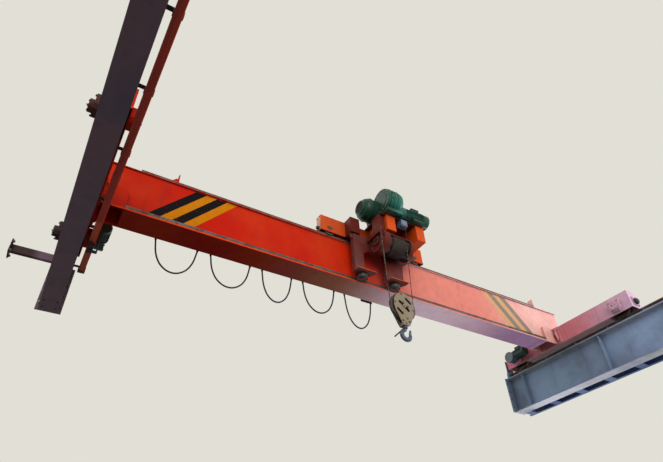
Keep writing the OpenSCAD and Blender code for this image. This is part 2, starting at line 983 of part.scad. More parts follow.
// The smooth part of a loop, between the straight bits that leave its two clamps
function loop_route(i) = [
    for (p = loop_shape)
        [
            loop_start_x[i] + p[0] * (loop_end_x[i] - loop_start_x[i]),
            track_y,
            loop_top - loop_exit - p[1] * (loop_depth[i] - loop_exit)
        ]
];

// A point of the smooth curve through four neighbours
function curve_point(a, b, c, d, t) =
    0.5 * (2 * b + (c - a) * t + (2 * a - 5 * b + 4 * c - d) * t * t + (3 * b - a - 3 * c + d) * t * t * t);

function smooth_route(p, steps) = [
    for (i = [0:len(p) - 2])
        for (k = [0:steps - 1])
            curve_point(p[max(i - 1, 0)], p[i], p[i + 1], p[min(i + 2, len(p) - 1)], k / steps),
    p[len(p) - 1]
];

function unit(v) = v / norm(v);

// The direction of a route at one of its points
function heading(p, i) = unit(p[min(i + 1, len(p) - 1)] - p[max(i - 1, 0)]);

// A solid swept along a route in the XZ plane, with a radius at each point
// and its thickness along Y scaled by flat
module swept(route, radii, sides, flat = 1) {
    n = len(route);
    rings = [
        for (i = [0:n - 1])
            let (side = cross([0, 1, 0], heading(route, i)))
            for (k = [0:sides - 1])
                let (a = 360 * k / sides)
                route[i] + radii[i] * (cos(a) * side + flat * sin(a) * [0, 1, 0])
    ];
    walls = [
        for (i = [0:n - 2], k = [0:sides - 1])
            let (next = (k + 1) % sides)
            [i * sides + k, (i + 1) * sides + k, (i + 1) * sides + next, i * sides + next]
    ];
    first_end = [for (k = [0:sides - 1]) k];
    last_end = [for (k = [sides - 1:-1:0]) (n - 1) * sides + k];
    polyhedron(rings, concat([first_end], walls, [last_end]));
}

module loop(i) {
    route = concat(
        [[loop_start_x[i], track_y, loop_top]],
        smooth_route(loop_route(i), 2),
        [[loop_end_x[i], track_y, loop_top]]
    );
    color(rubber_black)
        swept(route, [for (p = route) cable_r], 10);
}

// Trolley

module crossbeams()
    color(cover_paint) {
        carriage();
        for (i = [0:2])
            translate([cross_xs[i], 0, 0])
                crossbeam(i == 0 ? cross_y0 + left_cross_short : cross_y0, carriage_y0);
    }

// The long box on the girder's rail, open below for its two wheels
module carriage()
    difference() {
        box([carriage_x0, carriage_y0, cross_z0], [carriage_x1, carriage_y1, cross_z1]);
        box([carriage_x0 + cross_t, carriage_y0 + cross_t, cross_z0 - 1],
            [carriage_x1 - cross_t, carriage_y1 - cross_t, cross_z1 - cross_t]);
        for (x = trolley_wheel_xs)
            translate([x, rail_y, trolley_axle_z])
                rod_y(-carriage_half - 1, carriage_half + 1, trolley_axle_r + fit);
    }

// A hollow box beam closed by a plate at each end
module crossbeam(y0, y1)
    difference() {
        box([-cross_w / 2, y0, cross_z0], [cross_w / 2, y1, cross_z1]);
        box([-cross_w / 2 + cross_t, y0 + cross_t, cross_z0 + cross_t],
            [cross_w / 2 - cross_t, y1 - cross_t, cross_z1 - cross_t]);
    }

module trolley_wheel(x) {
    tread_half = trolley_tread_w / 2;
    rim_half = tread_half + trolley_rim;
    axle_half = carriage_half + 6;
    flange_r = trolley_wheel_r + trolley_flange_h;
    color(bare_steel)
        translate([x, rail_y, trolley_axle_z])
            turned_y()
                polygon([
                    [0, -axle_half], [trolley_axle_r, -axle_half],
                    [trolley_axle_r, -rim_half - 2], [trolley_axle_r + 14, -rim_half - 2],
                    [trolley_axle_r + 14, -rim_half + 8], [trolley_wheel_r - 14, -rim_half + 8],
                    [trolley_wheel_r - 14, -rim_half], [flange_r, -rim_half],
                    [flange_r, -rim_half + 5], [trolley_wheel_r, -tread_half],
                    [trolley_wheel_r, tread_half], [flange_r, rim_half - 5],
                    [flange_r, rim_half], [trolley_wheel_r - 14, rim_half],
                    [trolley_wheel_r - 14, rim_half - 8], [trolley_axle_r + 14, rim_half - 8],
                    [trolley_axle_r + 14, rim_half + 2], [trolley_axle_r, rim_half + 2],
                    [trolley_axle_r, axle_half], [0, axle_half]
                ]);
}

// The panel that hangs from the crossbeams and carries the guide rollers
module hanging_panel() {
    post_w = 60;
    post_t = 12;
    x0 = cross_xs[0] - 30;
    x1 = cross_xs[2] + cross_w / 2;
    leg_xs = [roller_xs[0] + 10, roller_xs[1] - 175, roller_xs[1] + 115];
    color(trolley_paint) {
        along_y(panel_y0, panel_y1)
            panel_outline(x0, x1, leg_xs);
        for (x = [x0, leg_xs[0] - post_t, leg_xs[1], leg_xs[2] - post_t])
            box([x, panel_y1, shelf_z0 + shelf_t], [x + post_t, panel_y1 + post_w, cross_z0]);
        for (x = roller_xs)
            translate([x, 0, 0])
                roller_shelf();
    }
}

// Two legs under a deep top edge, with a slanting edge over the opening between them
module panel_outline(x0, x1, leg_xs) {
    z0 = shelf_z0 + shelf_t;
    knee_z = z0 + 300;
    top_edge = 40;
    right_edge = 110;
    polygon([
        [x0, cross_z0],
        [x0, z0],
        [leg_xs[0], z0],
        [leg_xs[0], knee_z],
        [cross_xs[1] - 20, cross_z0 - top_edge],
        [leg_xs[1], cross_z0 - top_edge],
        [leg_xs[1], z0],
        [leg_xs[2], z0],
        [leg_xs[2] + 20, knee_z],
        [x1, cross_z0 - right_edge],
        [x1, cross_z0]
    ]);
}

// A tapered shelf with the roller's pin under it
module roller_shelf() {
    near = panel_y0 - 70;
    far = near_edge - 12;
    pin_z0 = roller_z - roller_h / 2 - 10;
    translate([0, 0, shelf_z0])
        linear_extrude(shelf_t)
            polygon([
                [-150, near],
                [150, near],
                [150, near + 70],
                [80, far],
                [-80, far],
                [-150, near + 70]
            ]);
    translate([0, roller_y, 0]) {
        rod_z(pin_z0, shelf_z0 + shelf_t + 18, roller_pin_r);
        rod_z(pin_z0, pin_z0 + 6, roller_pin_r + 12);
        rod_z(roller_z + roller_h / 2 + 4, shelf_z0, roller_pin_r + 12);
        translate([0, 0, shelf_z0 + shelf_t])
            cylinder(h = 14, r = 26, $fn = 6);
    }
}

module guide_roller(x) {
    half = roller_h / 2;
    color(bare_steel)
        translate([x, roller_y, roller_z])
            rotate_extrude()
                polygon([
                    [roller_pin_r + fit, -half],
                    [45, -half],
                    [50, -half + 6],
                    [roller_r - 8, -half + 6],
                    [roller_r - 4, -half],
                    [roller_r, -half + 4],
                    [roller_r, half - 4],
                    [roller_r - 4, half],
                    [roller_pin_r + fit, half]
                ]);
}

// The plate under the gearbox, which ends short of the hoist motor
module motor_platform() {
    lip = 20;
    x0 = gearbox_x[0];
    x1 = cross_xs[2] + cross_w / 2;
    color(trolley_paint) {
        box([x0, cross_y0, cross_z1], [x1, carriage_y1, platform_z]);
        box([x0, carriage_y1 - 8, platform_z], [x1, carriage_y1, platform_z + lip]);
    }
}

// Rope drum and its cover

module drum_cover() {
    x0 = drum_x0 - cover_end_gap;
    x1 = drum_x1 + cover_end_gap;
    hanger_half = 60;
    color(trolley_paint)
        translate([0, drum_y, drum_z]) {
            difference() {
                along_x(gear_x1, x1)
                    cover_outline();
                box([gear_x1 - 1, -cover_r1 - 1, -cover_r1 - 1], [x1 - 40, 0, cover_r0 * 0.35]);
            }
            for (x = [x0 - cover_end_t, x1])
                cover_end(x);
            box([x1, -hanger_half, cover_r1 - 12],
                [x1 + cover_end_t, hanger_half, cross_z1 - drum_z]);
        }
}

// A ring open below, from under the near side round the top to the far side
module cover_outline() {
    open_from = 257;
    open_to = 330;
    reach = cover_r1 * 1.3;
    difference() {
        circle(r = cover_r1);
        circle(r = cover_r0);
        polygon([
            [0, 0],
            reach * [cos(open_from), sin(open_from)],
            reach * 1.2 * [cos((open_from + open_to) / 2), sin((open_from + open_to) / 2)],
            reach * [cos(open_to), sin(open_to)]
        ]);
    }
}

module cover_end(x)
    difference() {
        union() {
            translate([x, 0, 0])
                rod_x(0, cover_end_t, cover_r1);
            translate([x < drum_mid ? x - 18 : x + cover_end_t, 0, 0])
                rod_x(0, 18, 62);
        }
        rod_x(x - 30, x + 40, drum_shaft_r + fit);
    }

wound_turns = 15;

module rope_drum() {
    ridge_r = barrel_r + 4;
    lip_r = drum_r + 2;
    lip_t = 16;
    shaft_x = [drum_x0 - shaft_reach - 10, drum_x1 + shaft_reach + 10];
    groove_from = rope_leave_x + 2 * rope_r;
    groove_count = floor((drum_x1 - lip_t - 8 - groove_from) / groove_pitch);
    color(bare_steel)
        translate([0, drum_y, drum_z]) {
            rod_x(shaft_x[0], shaft_x[1], drum_shaft_r);
            rod_x(drum_x0, drum_x1, barrel_r);
            for (x = [drum_x0, drum_x1 - lip_t])
                rod_x(x, x + lip_t, lip_r);
            for (i = [0:groove_count])
                translate([groove_from + i * groove_pitch, 0, 0])
                    groove_ridge(ridge_r);
            for (i = [1:wound_turns])
                translate([rope_leave_x - i * groove_pitch, 0, 0])
                    turned_x()
                        translate([drum_r, 0])
                            circle(r = rope_r, $fn = 24);
        }
}

// The ridge between two grooves of the drum
module groove_ridge(ridge_r)
    turned_x()
        polygon([
            [barrel_r - 1, -5],
            [ridge_r, -2],
            [ridge_r, 2],
            [barrel_r - 1, 5]
        ]);

gear_x0 = drum_x0 - cover_end_gap;
gear_x1 = cross_xs[1] - cross_w / 2 - 5;

// The case round the drum's gear, hung under the gearbox
module gear_case() {
    neck_w = 150;
    color(trolley_paint)
        difference() {
            union() {
                translate([0, drum_y, drum_z])
                    rod_x(gear_x0, gear_x1, cover_r1 + 10);
                box([gear_x0, drum_y - neck_w / 2, drum_z], [gear_x1, drum_y + neck_w / 2, cross_z1]);
            }
            translate([0, drum_y, drum_z])
                rod_x(gear_x0 - 1, gear_x1 + 1, cover_r0);
        }
}

// Motors on the platform

motor_y = rope_y + 253;
motor_z = platform_z + 182;
gearbox_y = rope_y + 40;
gearbox_z = platform_z + 226;
gearbox_x = [trolley_x - 194, trolley_x + 170];
travel_motor_y = rope_y + 30;
travel_motor_z = platform_z + 112;

motor_flange_r = 178;

module hoist_motor() {
    x0 = gearbox_x[0] - 205;
    x1 = gearbox_x[0];
    flange_t = 14;
    color(motor_paint)
        translate([0, motor_y, motor_z])
            turned_x_between(x0, x1)
                polygon([
                    [0, 0], [105, 0], [112, 8], [150, 40], [168, 80],
                    [173, 110], [173, x1 - x0 - flange_t], [motor_flange_r, x1 - x0 - flange_t],
                    [motor_flange_r, x1 - x0], [0, x1 - x0]
                ]);
}

module turned_x_between(x0, x1)
    translate([x0, 0, 0])
        rotate([90, 0, 90])
            rotate_extrude_z()
                children();

// Turns an outline in (radius, height) about the local Z axis
module rotate_extrude_z()
    rotate_extrude()
        children();

module hoist_gearbox() {
    x0 = gearbox_x[0];
    x1 = gearbox_x[1];
    color(motor_paint) {
        translate([0, gearbox_y, gearbox_z]) {
            turned_x_between(x0 + 20, x1)
                polygon([
                    [0, 0], [190, 0], [204, 14], [204, 220], [190, 262],
                    [150, 296], [90, 316], [0, 322]
                ]);
            for (x = [x0 + 70, x0 + 130, x0 + 190])
                rod_x(x, x + 10, 212);
            translate([0, travel_motor_y - gearbox_y, travel_motor_z - gearbox_z])
                rod_x(x1 - 120, x1, 110);
            translate([x0 + 130, 0, 0])
                rod_z(190, 250, 16);
        }
        translate([0, motor_y, motor_z])
            rod_x(x0, x0 + 120, motor_flange_r);
        box([x0 + 30, gearbox_y - 120, platform_z], [x1 - 60, gearbox_y + 120, gearbox_z - 100]);
        box([x0, gearbox_y + 60, platform_z], [x0 + 120, motor_y + 140, motor_z]);
    }
}

module trolley_motor() {
    x0 = gearbox_x[1];
    l = 450;
    color(motor_paint) {
        translate([0, travel_motor_y, travel_motor_z]) {
            turned_x_between(x0, x0 + l)
                polygon([
                    [0, 0], [110, 0], [110, 16], [98, 24], [98, 130],
                    [108, 130], [108, 360], [104, 370], [104, l - 30],
                    [90, l], [0, l]
                ]);
            box([x0 + 150, -95, -112], [x0 + 350, 95, -80]);
        }
    }
}

module terminal_box() {
    x = cross_xs[1] + cross_w / 2 + 95;
    color([0.42, 0.48, 0.55])
        box([x, cross_y0 - 20, cross_z1 - 100], [x + 110, cross_y0 + 80, cross_z1]);
}

// The bar that holds the end of the rope, with its socket below
module rope_anchor() {
    t = 18;
    bar_z0 = drum_z + 70;
    color(trolley_paint)
        translate([fall_x[0], 0, 0]) {
            box([-t / 2, rope_y - 25, bar_z0], [t / 2, panel_y0, bar_z0 + 60]);
            translate([0, rope_y, drum_z]) {
                rod_z(20, 75, 16);
                cylinder(h = 20, r1 = 9, r2 = 16);
            }
        }
}

// Reaches over the girder and down to the last cable loop
module tow_arm() {
    x = cross_xs[1];
    w = 60;
    t = 10;
    tow_x = loop_end_x[4] + 10;
    reach_z = [cross_z0 + 60, cross_z0 + 120];
    color(bare_steel) {
        box([x, carriage_y1, reach_z[0]], [x + w, tow_y + t, reach_z[1]]);
        box([x, tow_y, loop_top - 30], [x + w, tow_y + t, reach_z[1]]);
        box([x, tow_y, loop_top - 30], [tow_x + 40, tow_y + t, loop_top + 30]);
        box([tow_x - 25, track_y - 18, loop_top], [tow_x + 40, tow_y + 1, loop_top + 32]);
    }
}

// Hook block

// An oval plate with a neck below for the crosshead and three slanting slots
module cheek_2d() {
    neck_w = 130;
    neck_z = -265;
    slant = -40;
    side_slot = 112;
    difference() {
        union() {
            scale([cheek_half_w / cheek_top, 1])
                circle(r = cheek_top);
            polygon([
                [-cheek_half_w * 0.8, -cheek_top * 0.6],
                [-neck_w / 2, neck_z + 30],
                [-neck_w / 2 + 20, neck_z],
                [neck_w / 2 - 20, neck_z],
                [neck_w / 2, neck_z + 30],
                [cheek_half_w * 0.8, -cheek_top * 0.6]
            ]);
        }
        rotate(slant) {
            slot_2d(190, 42);
            for (s = [-1, 1])
                translate([0, s * side_slot])
                    slot_2d(110, 36);
        }
        circle(r = sheave_pin_r);
        translate([0, trunnion_z])
            circle(r = trunnion_r + fit);
    }
}

module block_cheeks()
    color(block_paint)
        translate([sheave_x, rope_y, sheave_z]) {
            for (s = [-1, 1])
                translate([0, s * (cheek_gap + cheek_t / 2), 0])
                    along_y(-cheek_t / 2, cheek_t / 2)
                        cheek_2d();
            rod_y(-cheek_gap - cheek_t - 6, cheek_gap + cheek_t + 6, sheave_pin_r);
        }

module block_crosshead() {
    z0 = trunnion_z - 21;
    z1 = trunnion_z + 21;
    color(block_paint)
        translate([sheave_x, rope_y, sheave_z])
            difference() {
                union() {
                    box([-42, -cheek_gap, z0], [42, cheek_gap, z1]);
                    translate([0, 0, trunnion_z])
                        rod_y(-cheek_gap - cheek_t - 10, cheek_gap + cheek_t + 10, trunnion_r);
                }
                rod_z(z0 - 1, z1 + 1, shank_r + fit);
            }
}

module sheave() {
    half = sheave_w / 2;
    rim_r = sheave_r + 10;
    root_r = sheave_r - rope_r - roll_gap;
    color(bare_steel)
        translate([sheave_x, rope_y, sheave_z])
            difference() {
                turned_y()
                    polygon([
                        [sheave_pin_r + fit, -half],
                        [60, -half],
                        [60, -10],
                        [rim_r - 45, -10],
                        [rim_r - 35, -half + 6],
                        [rim_r, -half + 6],
                        [rim_r, -half + 12],
                        [root_r + 4, -rope_r - 1],
                        [root_r, -3],
                        [root_r, 3],
                        [root_r + 4, rope_r + 1],
                        [rim_r, half - 12],
                        [rim_r, half - 6],
                        [rim_r - 35, half - 6],
                        [rim_r - 45, 10],
                        [60, 10],
                        [60, half],
                        [sheave_pin_r + fit, half]
                    ]);
                for (a = [0:72:288])
                    rotate([0, a, 0])
                        translate([98, 0, 0])
                            rod_y(-11, 11, 26);
            }
}

// The rope in the groove, round the underside of the sheave
module sheave_rope()
    color(bare_steel)
        translate([sheave_x, rope_y, sheave_z])
            rotate([90, 0, 0])
                rotate([0, 0, 180])
                    rotate_extrude(angle = 180)
                        translate([sheave_r, 0])
                            circle(r = rope_r, $fn = 24);

// The two falls: one to the anchor and one to the drum
module hoist_ropes() {
    lean = atan((rope_leave_x - fall_x[1]) / (drum_z - sheave_z));
    foot = rope_r * tan(lean);
    color(bare_steel) {
        translate([fall_x[0], rope_y, sheave_z])
            cylinder(h = drum_z - sheave_z, r = rope_r, $fn = 24);
        translate([fall_x[1], rope_y, sheave_z + foot])
            rotate([0, lean, 0])
                cylinder(h = (drum_z - sheave_z - foot) / cos(lean), r = rope_r, $fn = 24);
    }
}

// The hook's centre line: down the shank, round the bowl and up to the point
hook_mid_r = bowl_r + hook_t / 2;
hook_z = sheave_z - 372;
hook_neck = 84;
hook_tip = 70;
hook_tip_r = 12;

function hook_line() = concat(
    [
        [0, 0, hook_z + hook_neck],
        [-3, 0, hook_z + hook_neck - 16],
        [-18, 0, hook_z + hook_neck - 28]
    ],
    [
        for (a = [135:15:360])
            [hook_mid_r * cos(a), 0, hook_z + hook_mid_r * sin(a)]
    ],
    [
        [hook_mid_r + 1, 0, hook_z + hook_tip - 45],
        [hook_mid_r + 5, 0, hook_z + hook_tip - 22],
        [hook_mid_r + 12, 0, hook_z + hook_tip]
    ]
);

// Radius of the hook's steel at each point of its centre line
function hook_radius(i, n) =
    let (
        t = i / (n - 1),
        swell = (hook_t / 2 - shank_r) * min(1, t / 0.3),
        taper = (hook_t / 2 - hook_tip_r) * max(0, t - 0.7) / 0.3
    )
    shank_r + swell - taper;

module hook_body() {
    line = hook_line();
    n = len(line);
    swept(line, [for (i = [0:n - 1]) hook_radius(i, n)], 14, 0.85);
}

module hook() {
    top = sheave_z - 200;
    nut_h = 16;
    color([0.40, 0.43, 0.53])
        translate([sheave_x, rope_y, 0]) {
            rod_z(hook_z + hook_neck - 8, top, shank_r);
            translate([0, 0, top - nut_h])
                cylinder(h = nut_h, r = 34, $fn = 6);
            hook_body();
        }
}

// The collar on the shank and the bar that locks the hook's swivel, behind the hook
module hook_lever() {
    z = sheave_z - 277;
    collar_half = 11;
    bar_y = 40;
    color([0.25, 0.28, 0.30])
        translate([sheave_x, rope_y, z]) {
            difference() {
                rod_z(-collar_half, collar_half, shank_r + 10);
                rod_z(-collar_half - 1, collar_half + 1, shank_r + fit);
            }
            rod_y(shank_r + 4, bar_y + 4, 8);
            translate([0, bar_y, 0])
                rotate([0, -42, 0])
                    rod_x(-190, 0, 9);
        }
}

runway_beam_left();
runway_beam_right();
crane_rails();
end_stops();
side_channel();
wall_tie();
conductor_bar();
conductor_hangers();
girder_bottom_flange();
girder_top_flange();
girder_webs();
girder_ends();
guide_bar();
top_rail();
trolley_stops();
truck_brackets();
end_truck_left();
end_truck_right();
axle_boxes();
truck_buffers();
travel_drives();
collector_arm();
festoon_track();
travel_wheel(0, wheel_ys[0]);  // wheel_left_near
travel_wheel(0, wheel_ys[1]);  // wheel_left_far
travel_wheel(span, wheel_ys[0]);  // wheel_right_near
travel_wheel(span, wheel_ys[1]);  // wheel_right_far
crossbeams();
hanging_panel();
motor_platform();
drum_cover();
gear_case();
hoist_motor();
hoist_gearbox();
trolley_motor();
terminal_box();
rope_anchor();
tow_arm();
rope_drum();
trolley_wheel(trolley_wheel_xs[0]);  // trolley_wheel_left
trolley_wheel(trolley_wheel_xs[1]);  // trolley_wheel_right
guide_roller(roller_xs[0]);  // guide_roller_left
guide_roller(roller_xs[1]);  // guide_roller_right
block_cheeks();
block_crosshead();
sheave();
sheave_rope();
hoist_ropes();
hook();
hook_lever();
carrier(0);  // carrier_1
carrier(1);  // carrier_2
carrier(2);  // carrier_3
carrier(3);  // carrier_4
loop(0);  // loop_1
loop(1);  // loop_2
loop(2);  // loop_3
loop(3);  // loop_4
loop(4);  // loop_5
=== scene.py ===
"""Finishes and fine detail for a single-girder bridge crane on its two runway beams."""

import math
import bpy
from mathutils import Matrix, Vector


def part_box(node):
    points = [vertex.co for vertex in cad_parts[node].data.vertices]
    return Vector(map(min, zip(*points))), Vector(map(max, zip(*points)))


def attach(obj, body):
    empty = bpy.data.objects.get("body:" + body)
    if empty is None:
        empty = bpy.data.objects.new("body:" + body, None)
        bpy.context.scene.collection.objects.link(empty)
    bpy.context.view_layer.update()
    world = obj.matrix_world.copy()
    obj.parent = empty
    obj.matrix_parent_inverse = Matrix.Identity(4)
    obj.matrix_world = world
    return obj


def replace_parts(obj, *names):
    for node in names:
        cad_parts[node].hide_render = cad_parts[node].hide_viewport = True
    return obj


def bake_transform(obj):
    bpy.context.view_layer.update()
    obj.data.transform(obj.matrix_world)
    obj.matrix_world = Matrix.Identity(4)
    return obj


bl_info = {
    "name": "Overhead bridge crane",
    "version": (1, 0, 0),
    "blender": (4, 5, 0),
    "location": "3D View > Sidebar > Crane",
    "description": "Finishes and fine detail for a single-girder bridge crane on its runway",
    "category": "Add Mesh",
}

from itertools import product

import bmesh
import bpy
from bpy.props import FloatProperty, FloatVectorProperty, IntProperty, PointerProperty
from mathutils import Euler, Matrix, Vector

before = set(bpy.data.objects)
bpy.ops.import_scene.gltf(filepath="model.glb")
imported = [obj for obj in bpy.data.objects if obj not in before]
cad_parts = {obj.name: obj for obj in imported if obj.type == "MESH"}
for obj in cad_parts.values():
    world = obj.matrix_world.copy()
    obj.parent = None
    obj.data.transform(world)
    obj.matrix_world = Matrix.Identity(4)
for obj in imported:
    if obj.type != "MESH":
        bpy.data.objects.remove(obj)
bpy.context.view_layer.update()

X = Vector((1, 0, 0))
Y = Vector((0, 1, 0))
Z = Vector((0, 0, 1))
BOTH = (-1, 1)

# Sizes read off the frame, in metres
rails_low, rails_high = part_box("crane_rails")
RAIL_X = (0.0, rails_low.x + rails_high.x)
RAIL_TOP = rails_high.z
BEAM_TOP = rails_low.z
flange_low, flange_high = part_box("girder_bottom_flange")
web_low, web_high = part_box("girder_webs")
top_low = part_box("girder_top_flange")[0]
truck_low, truck_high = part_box("end_truck_left")
cross_low, cross_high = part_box("crossbeams")
drum_low, drum_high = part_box("rope_drum")


def centre(node):
    """The middle of a node's box."""
    low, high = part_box(node)
    return (low + high) / 2


WHEEL_Y = [centre(wheel).y for wheel in ("wheel_left_near", "wheel_left_far")]
AXLE_Z = centre("wheel_left_near").z
WHEEL_R = AXLE_Z - RAIL_TOP
drum_at = centre("rope_drum")
sheave_at = centre("sheave")

# Sizes of the part's source that no box of the frame gives, in metres
BOX_REACH = 0.060
COVER_REACH = 0.100
PLATE = 0.010
CROSSBEAM_X = (3.320, 3.745, 4.268)
CROSSBEAM_HALF = 0.075
CARRIAGE_FACE = cross_high.y - 0.108
ROPE_X = (3.727, 3.939)
ROPE_R = 0.1439
HOOK_DROP = 0.372
HOOK_BOWL = 0.034
HOOK_THICK = 0.056
MOTOR_PARTS = {"hoist": (1.553, 1.884), "gearbox": (1.340, 1.928), "travel": (1.330, 1.814)}

# Where along the girder the painted glare of the windows rises, and where it is strongest
GLARE_RISE = (3.4, 4.7)
GLARE_PEAK = (5.6, 7.1)


def srgb(red, green, blue):
    """A screen colour, 0 to 255, as the linear values that a shader takes."""
    return tuple((c / 255 / 12.92) if c <= 10 else ((c / 255 + 0.055) / 1.055) ** 2.4 for c in (red, green, blue))


def colour(name, words, red, green, blue):
    """A colour that the user can change."""
    shade = srgb(red, green, blue)
    return FloatVectorProperty(name=name, description=words, subtype="COLOR", size=3, min=0, max=1, default=shade)


def length(name, words, size, low=0.0, high=20.0):
    """A length that the user can change, in metres."""
    return number(name, words, size, low, high, unit="LENGTH", precision=4)


def number(name, words, value, low, high, **unit):
    """A number that the user can change."""
    return FloatProperty(name=name, description=words, default=value, min=low, max=high, **unit)


class CraneColours(bpy.types.PropertyGroup):
    """The colours of the crane's paints and materials."""

    girder: colour("Girder", "Paint of the girder and the end trucks", 200, 26, 4)
    girder_faded: colour("Girder, faded", "Fading that mixes into the girder's paint", 255, 140, 48)
    # Painted highlight: the bottom flange's near edge drawn brighter than the same paint on the web
    flange_edge_highlight: colour("Flange edge", "Bright paint along the bottom flange's edge", 236, 62, 16)
    # Painted glare: the girder's red paled by the windows' reflection towards the right, palest at its right end
    girder_glare: colour("Girder, bleached", "The girder's paint towards the right", 228, 142, 128)
    girder_glare_peak: colour("Girder, palest", "The girder's paint at its right end", 234, 188, 176)
    # Painted light and shade on the girder's underside: painted shade at the left, lighter below the trolley, painted
    # glare of the sunlit floor at the right and painted shade at the right truck
    underside_lit_middle: colour("Underside, middle", "The girder's underside below the trolley", 150, 92, 74)
    underside: colour("Underside, right", "The girder's underside at the right", 244, 210, 220)
    underside_shade_end: colour("Girder underside, right end", "The underside in shade at the right truck", 142, 108, 140)
    # Painted glare: the right truck's red paled to pink and mauve by the windows' haze, palest at its front end
    truck_glare: colour("Right truck", "Bleached paint of the right truck", 198, 112, 132)
    truck_glare_front: colour("Right truck, end", "Bleached paint of the right truck's front end", 206, 170, 196)
    axle_cover: colour("Outer axle boxes", "Dark grease on the left truck's outer axle boxes", 62, 50, 54)
    trolley: colour("Trolley", "Paint of the trolley's panel, platform and drum cover", 100, 30, 20)
    # Painted reflection: the carriage's left cap pale peach where it reflects the light
    carriage_cap_reflection: colour("Carriage cap", "Bare pale cap on the carriage's left end", 214, 158, 130)
    crossbeam: colour("Carriage", "Paint of the trolley's carriage and crossbeams", 214, 78, 20)
    runway: colour("Left runway", "Paint of the left runway beam", 110, 86, 98)
    # Painted haze: the right beam tinted blue-grey by the windows' glare, paler at its front as painted glare
    runway_right_haze: colour("Right runway", "Paint of the right runway beam", 112, 134, 158)
    runway_front_glare: colour("Right runway, front", "Bleached paint of the right beam's front part", 150, 176, 214)
    runway_below: colour("Right runway, below", "The right beam's underside in the glare", 182, 178, 180)
    channel: colour("Side channel", "Paint of the channel beside the right beam", 52, 72, 110)
    tie: colour("Wall tie", "Paint of the tie bar", 58, 34, 30)
    conductor: colour("Conductor bar", "Cover of the conductor bar", 176, 54, 34)
    # Painted highlight along the conductor bar's right edge
    conductor_edge_highlight: colour("Conductor bar, edge", "Bright edge along the bar", 236, 60, 22)
    conductor_new: colour("Conductor bar, far end", "Paler cover at the bar's far end", 208, 96, 60)
    motor: colour("Motors", "Enamel of the motors and the gearbox", 14, 60, 44)
    motor_pale: colour("Motors, faded", "The motors' enamel where it has faded", 40, 128, 112)
    drive_right: colour("Right travel drive", "The right travel drive in the glare", 62, 86, 106)
    block: colour("Hook block", "Paint of the hook block", 142, 124, 98)
    hook: colour("Hook", "Forged steel of the hook", 104, 112, 132)
    box: colour("Terminal box", "Paint of the terminal box", 104, 124, 148)
    cable: colour("Cables", "Rubber of the hanging cables", 20, 20, 22)
    stripe_dark: colour("Dark stripes", "Dark bands on the girder", 20, 16, 20)
    stripe_amber: colour("Amber stripes", "Amber bands on the girder", 204, 122, 0)
    # Painted glare: what the right bands are paled towards
    stripe_glare: colour("Stripes, bleached", "What the right bands are bleached towards", 230, 214, 190)
    steel: colour("Bare steel", "Rolled steel of the rails", 112, 106, 100)
    # Also the colour of the painted shade in the corners
    rust: colour("Rust", "Rust on bare steel", 92, 46, 24)
    grime_and_shade: colour("Dirt", "Dust and grime in the corners", 52, 42, 36)
    fastener: colour("Fasteners", "Zinc on the bolts and nuts", 122, 118, 110)


class CraneSizes(bpy.types.PropertyGroup):
    """Sizes of the fine detail."""

    stripe_width: length("Stripe width", "Width of one band along the girder", 0.133, 0.05, 0.3)
    stripe_start: length("Stripe start", "Place of the first band's lower edge", 0.569, 0.4, 1.5)
    stripe_lean: number("Stripe lean", "Travel along the girder for each unit of height", 0.9, 0, 2)
    stripe_count: IntProperty(name="Stripes", description="Bands in each group", default=4, min=2, max=8)
    clip_pitch: length("Clip pitch", "Distance between two rail clips", 0.6, 0.3, 1.2)
    bolt: length("Bolt head", "Width across flats of a bolt's head", 0.024, 0.01, 0.05)
    cable_diameter: length("Cable diameter", "Diameter of a hanging cable", 0.020, 0.01, 0.03)
    rope_diameter: length("Rope diameter", "Diameter of the hoist rope", 0.012, 0.006, 0.02)
    strand_pitch: length("Strand pitch", "Length of one turn of a strand of the rope", 0.085, 0.04, 0.2)
    strands: IntProperty(name="Strands", description="Strands in the hoist rope", default=6, min=3, max=8)


class CraneStage(bpy.types.PropertyGroup):
    """The camera, the floor and the lights."""

    camera_at: FloatVectorProperty(
        name="Camera", description="Place of the camera", default=(0.083, -2.798, -3.025),
        subtype="TRANSLATION", unit="LENGTH",
    )
    camera_turn: FloatVectorProperty(
        name="Camera turn", description="Turn of the camera", default=(2.261544, 0.039254, -0.540543), subtype="EULER"
    )
    lens: number("Lens", "Focal length in millimetres", 27.503, 10, 200)
    floor_z: length("Floor height", "Height of the room's floor", -4.62, -10, 0)
    backdrop: colour("Backdrop", "Colour of the room behind the crane", 226, 224, 214)
    floor: colour("Floor", "Colour of the floor", 214, 211, 202)
    room_light: number("Room light", "Strength of the light from all round", 0.85, 0, 3)
    side_light: number("Side light", "Power of the light at the right", 260, 0, 2000)
    floor_light: number("Floor light", "Power of the light off the floor at the right", 160, 0, 2000)


# Finishes


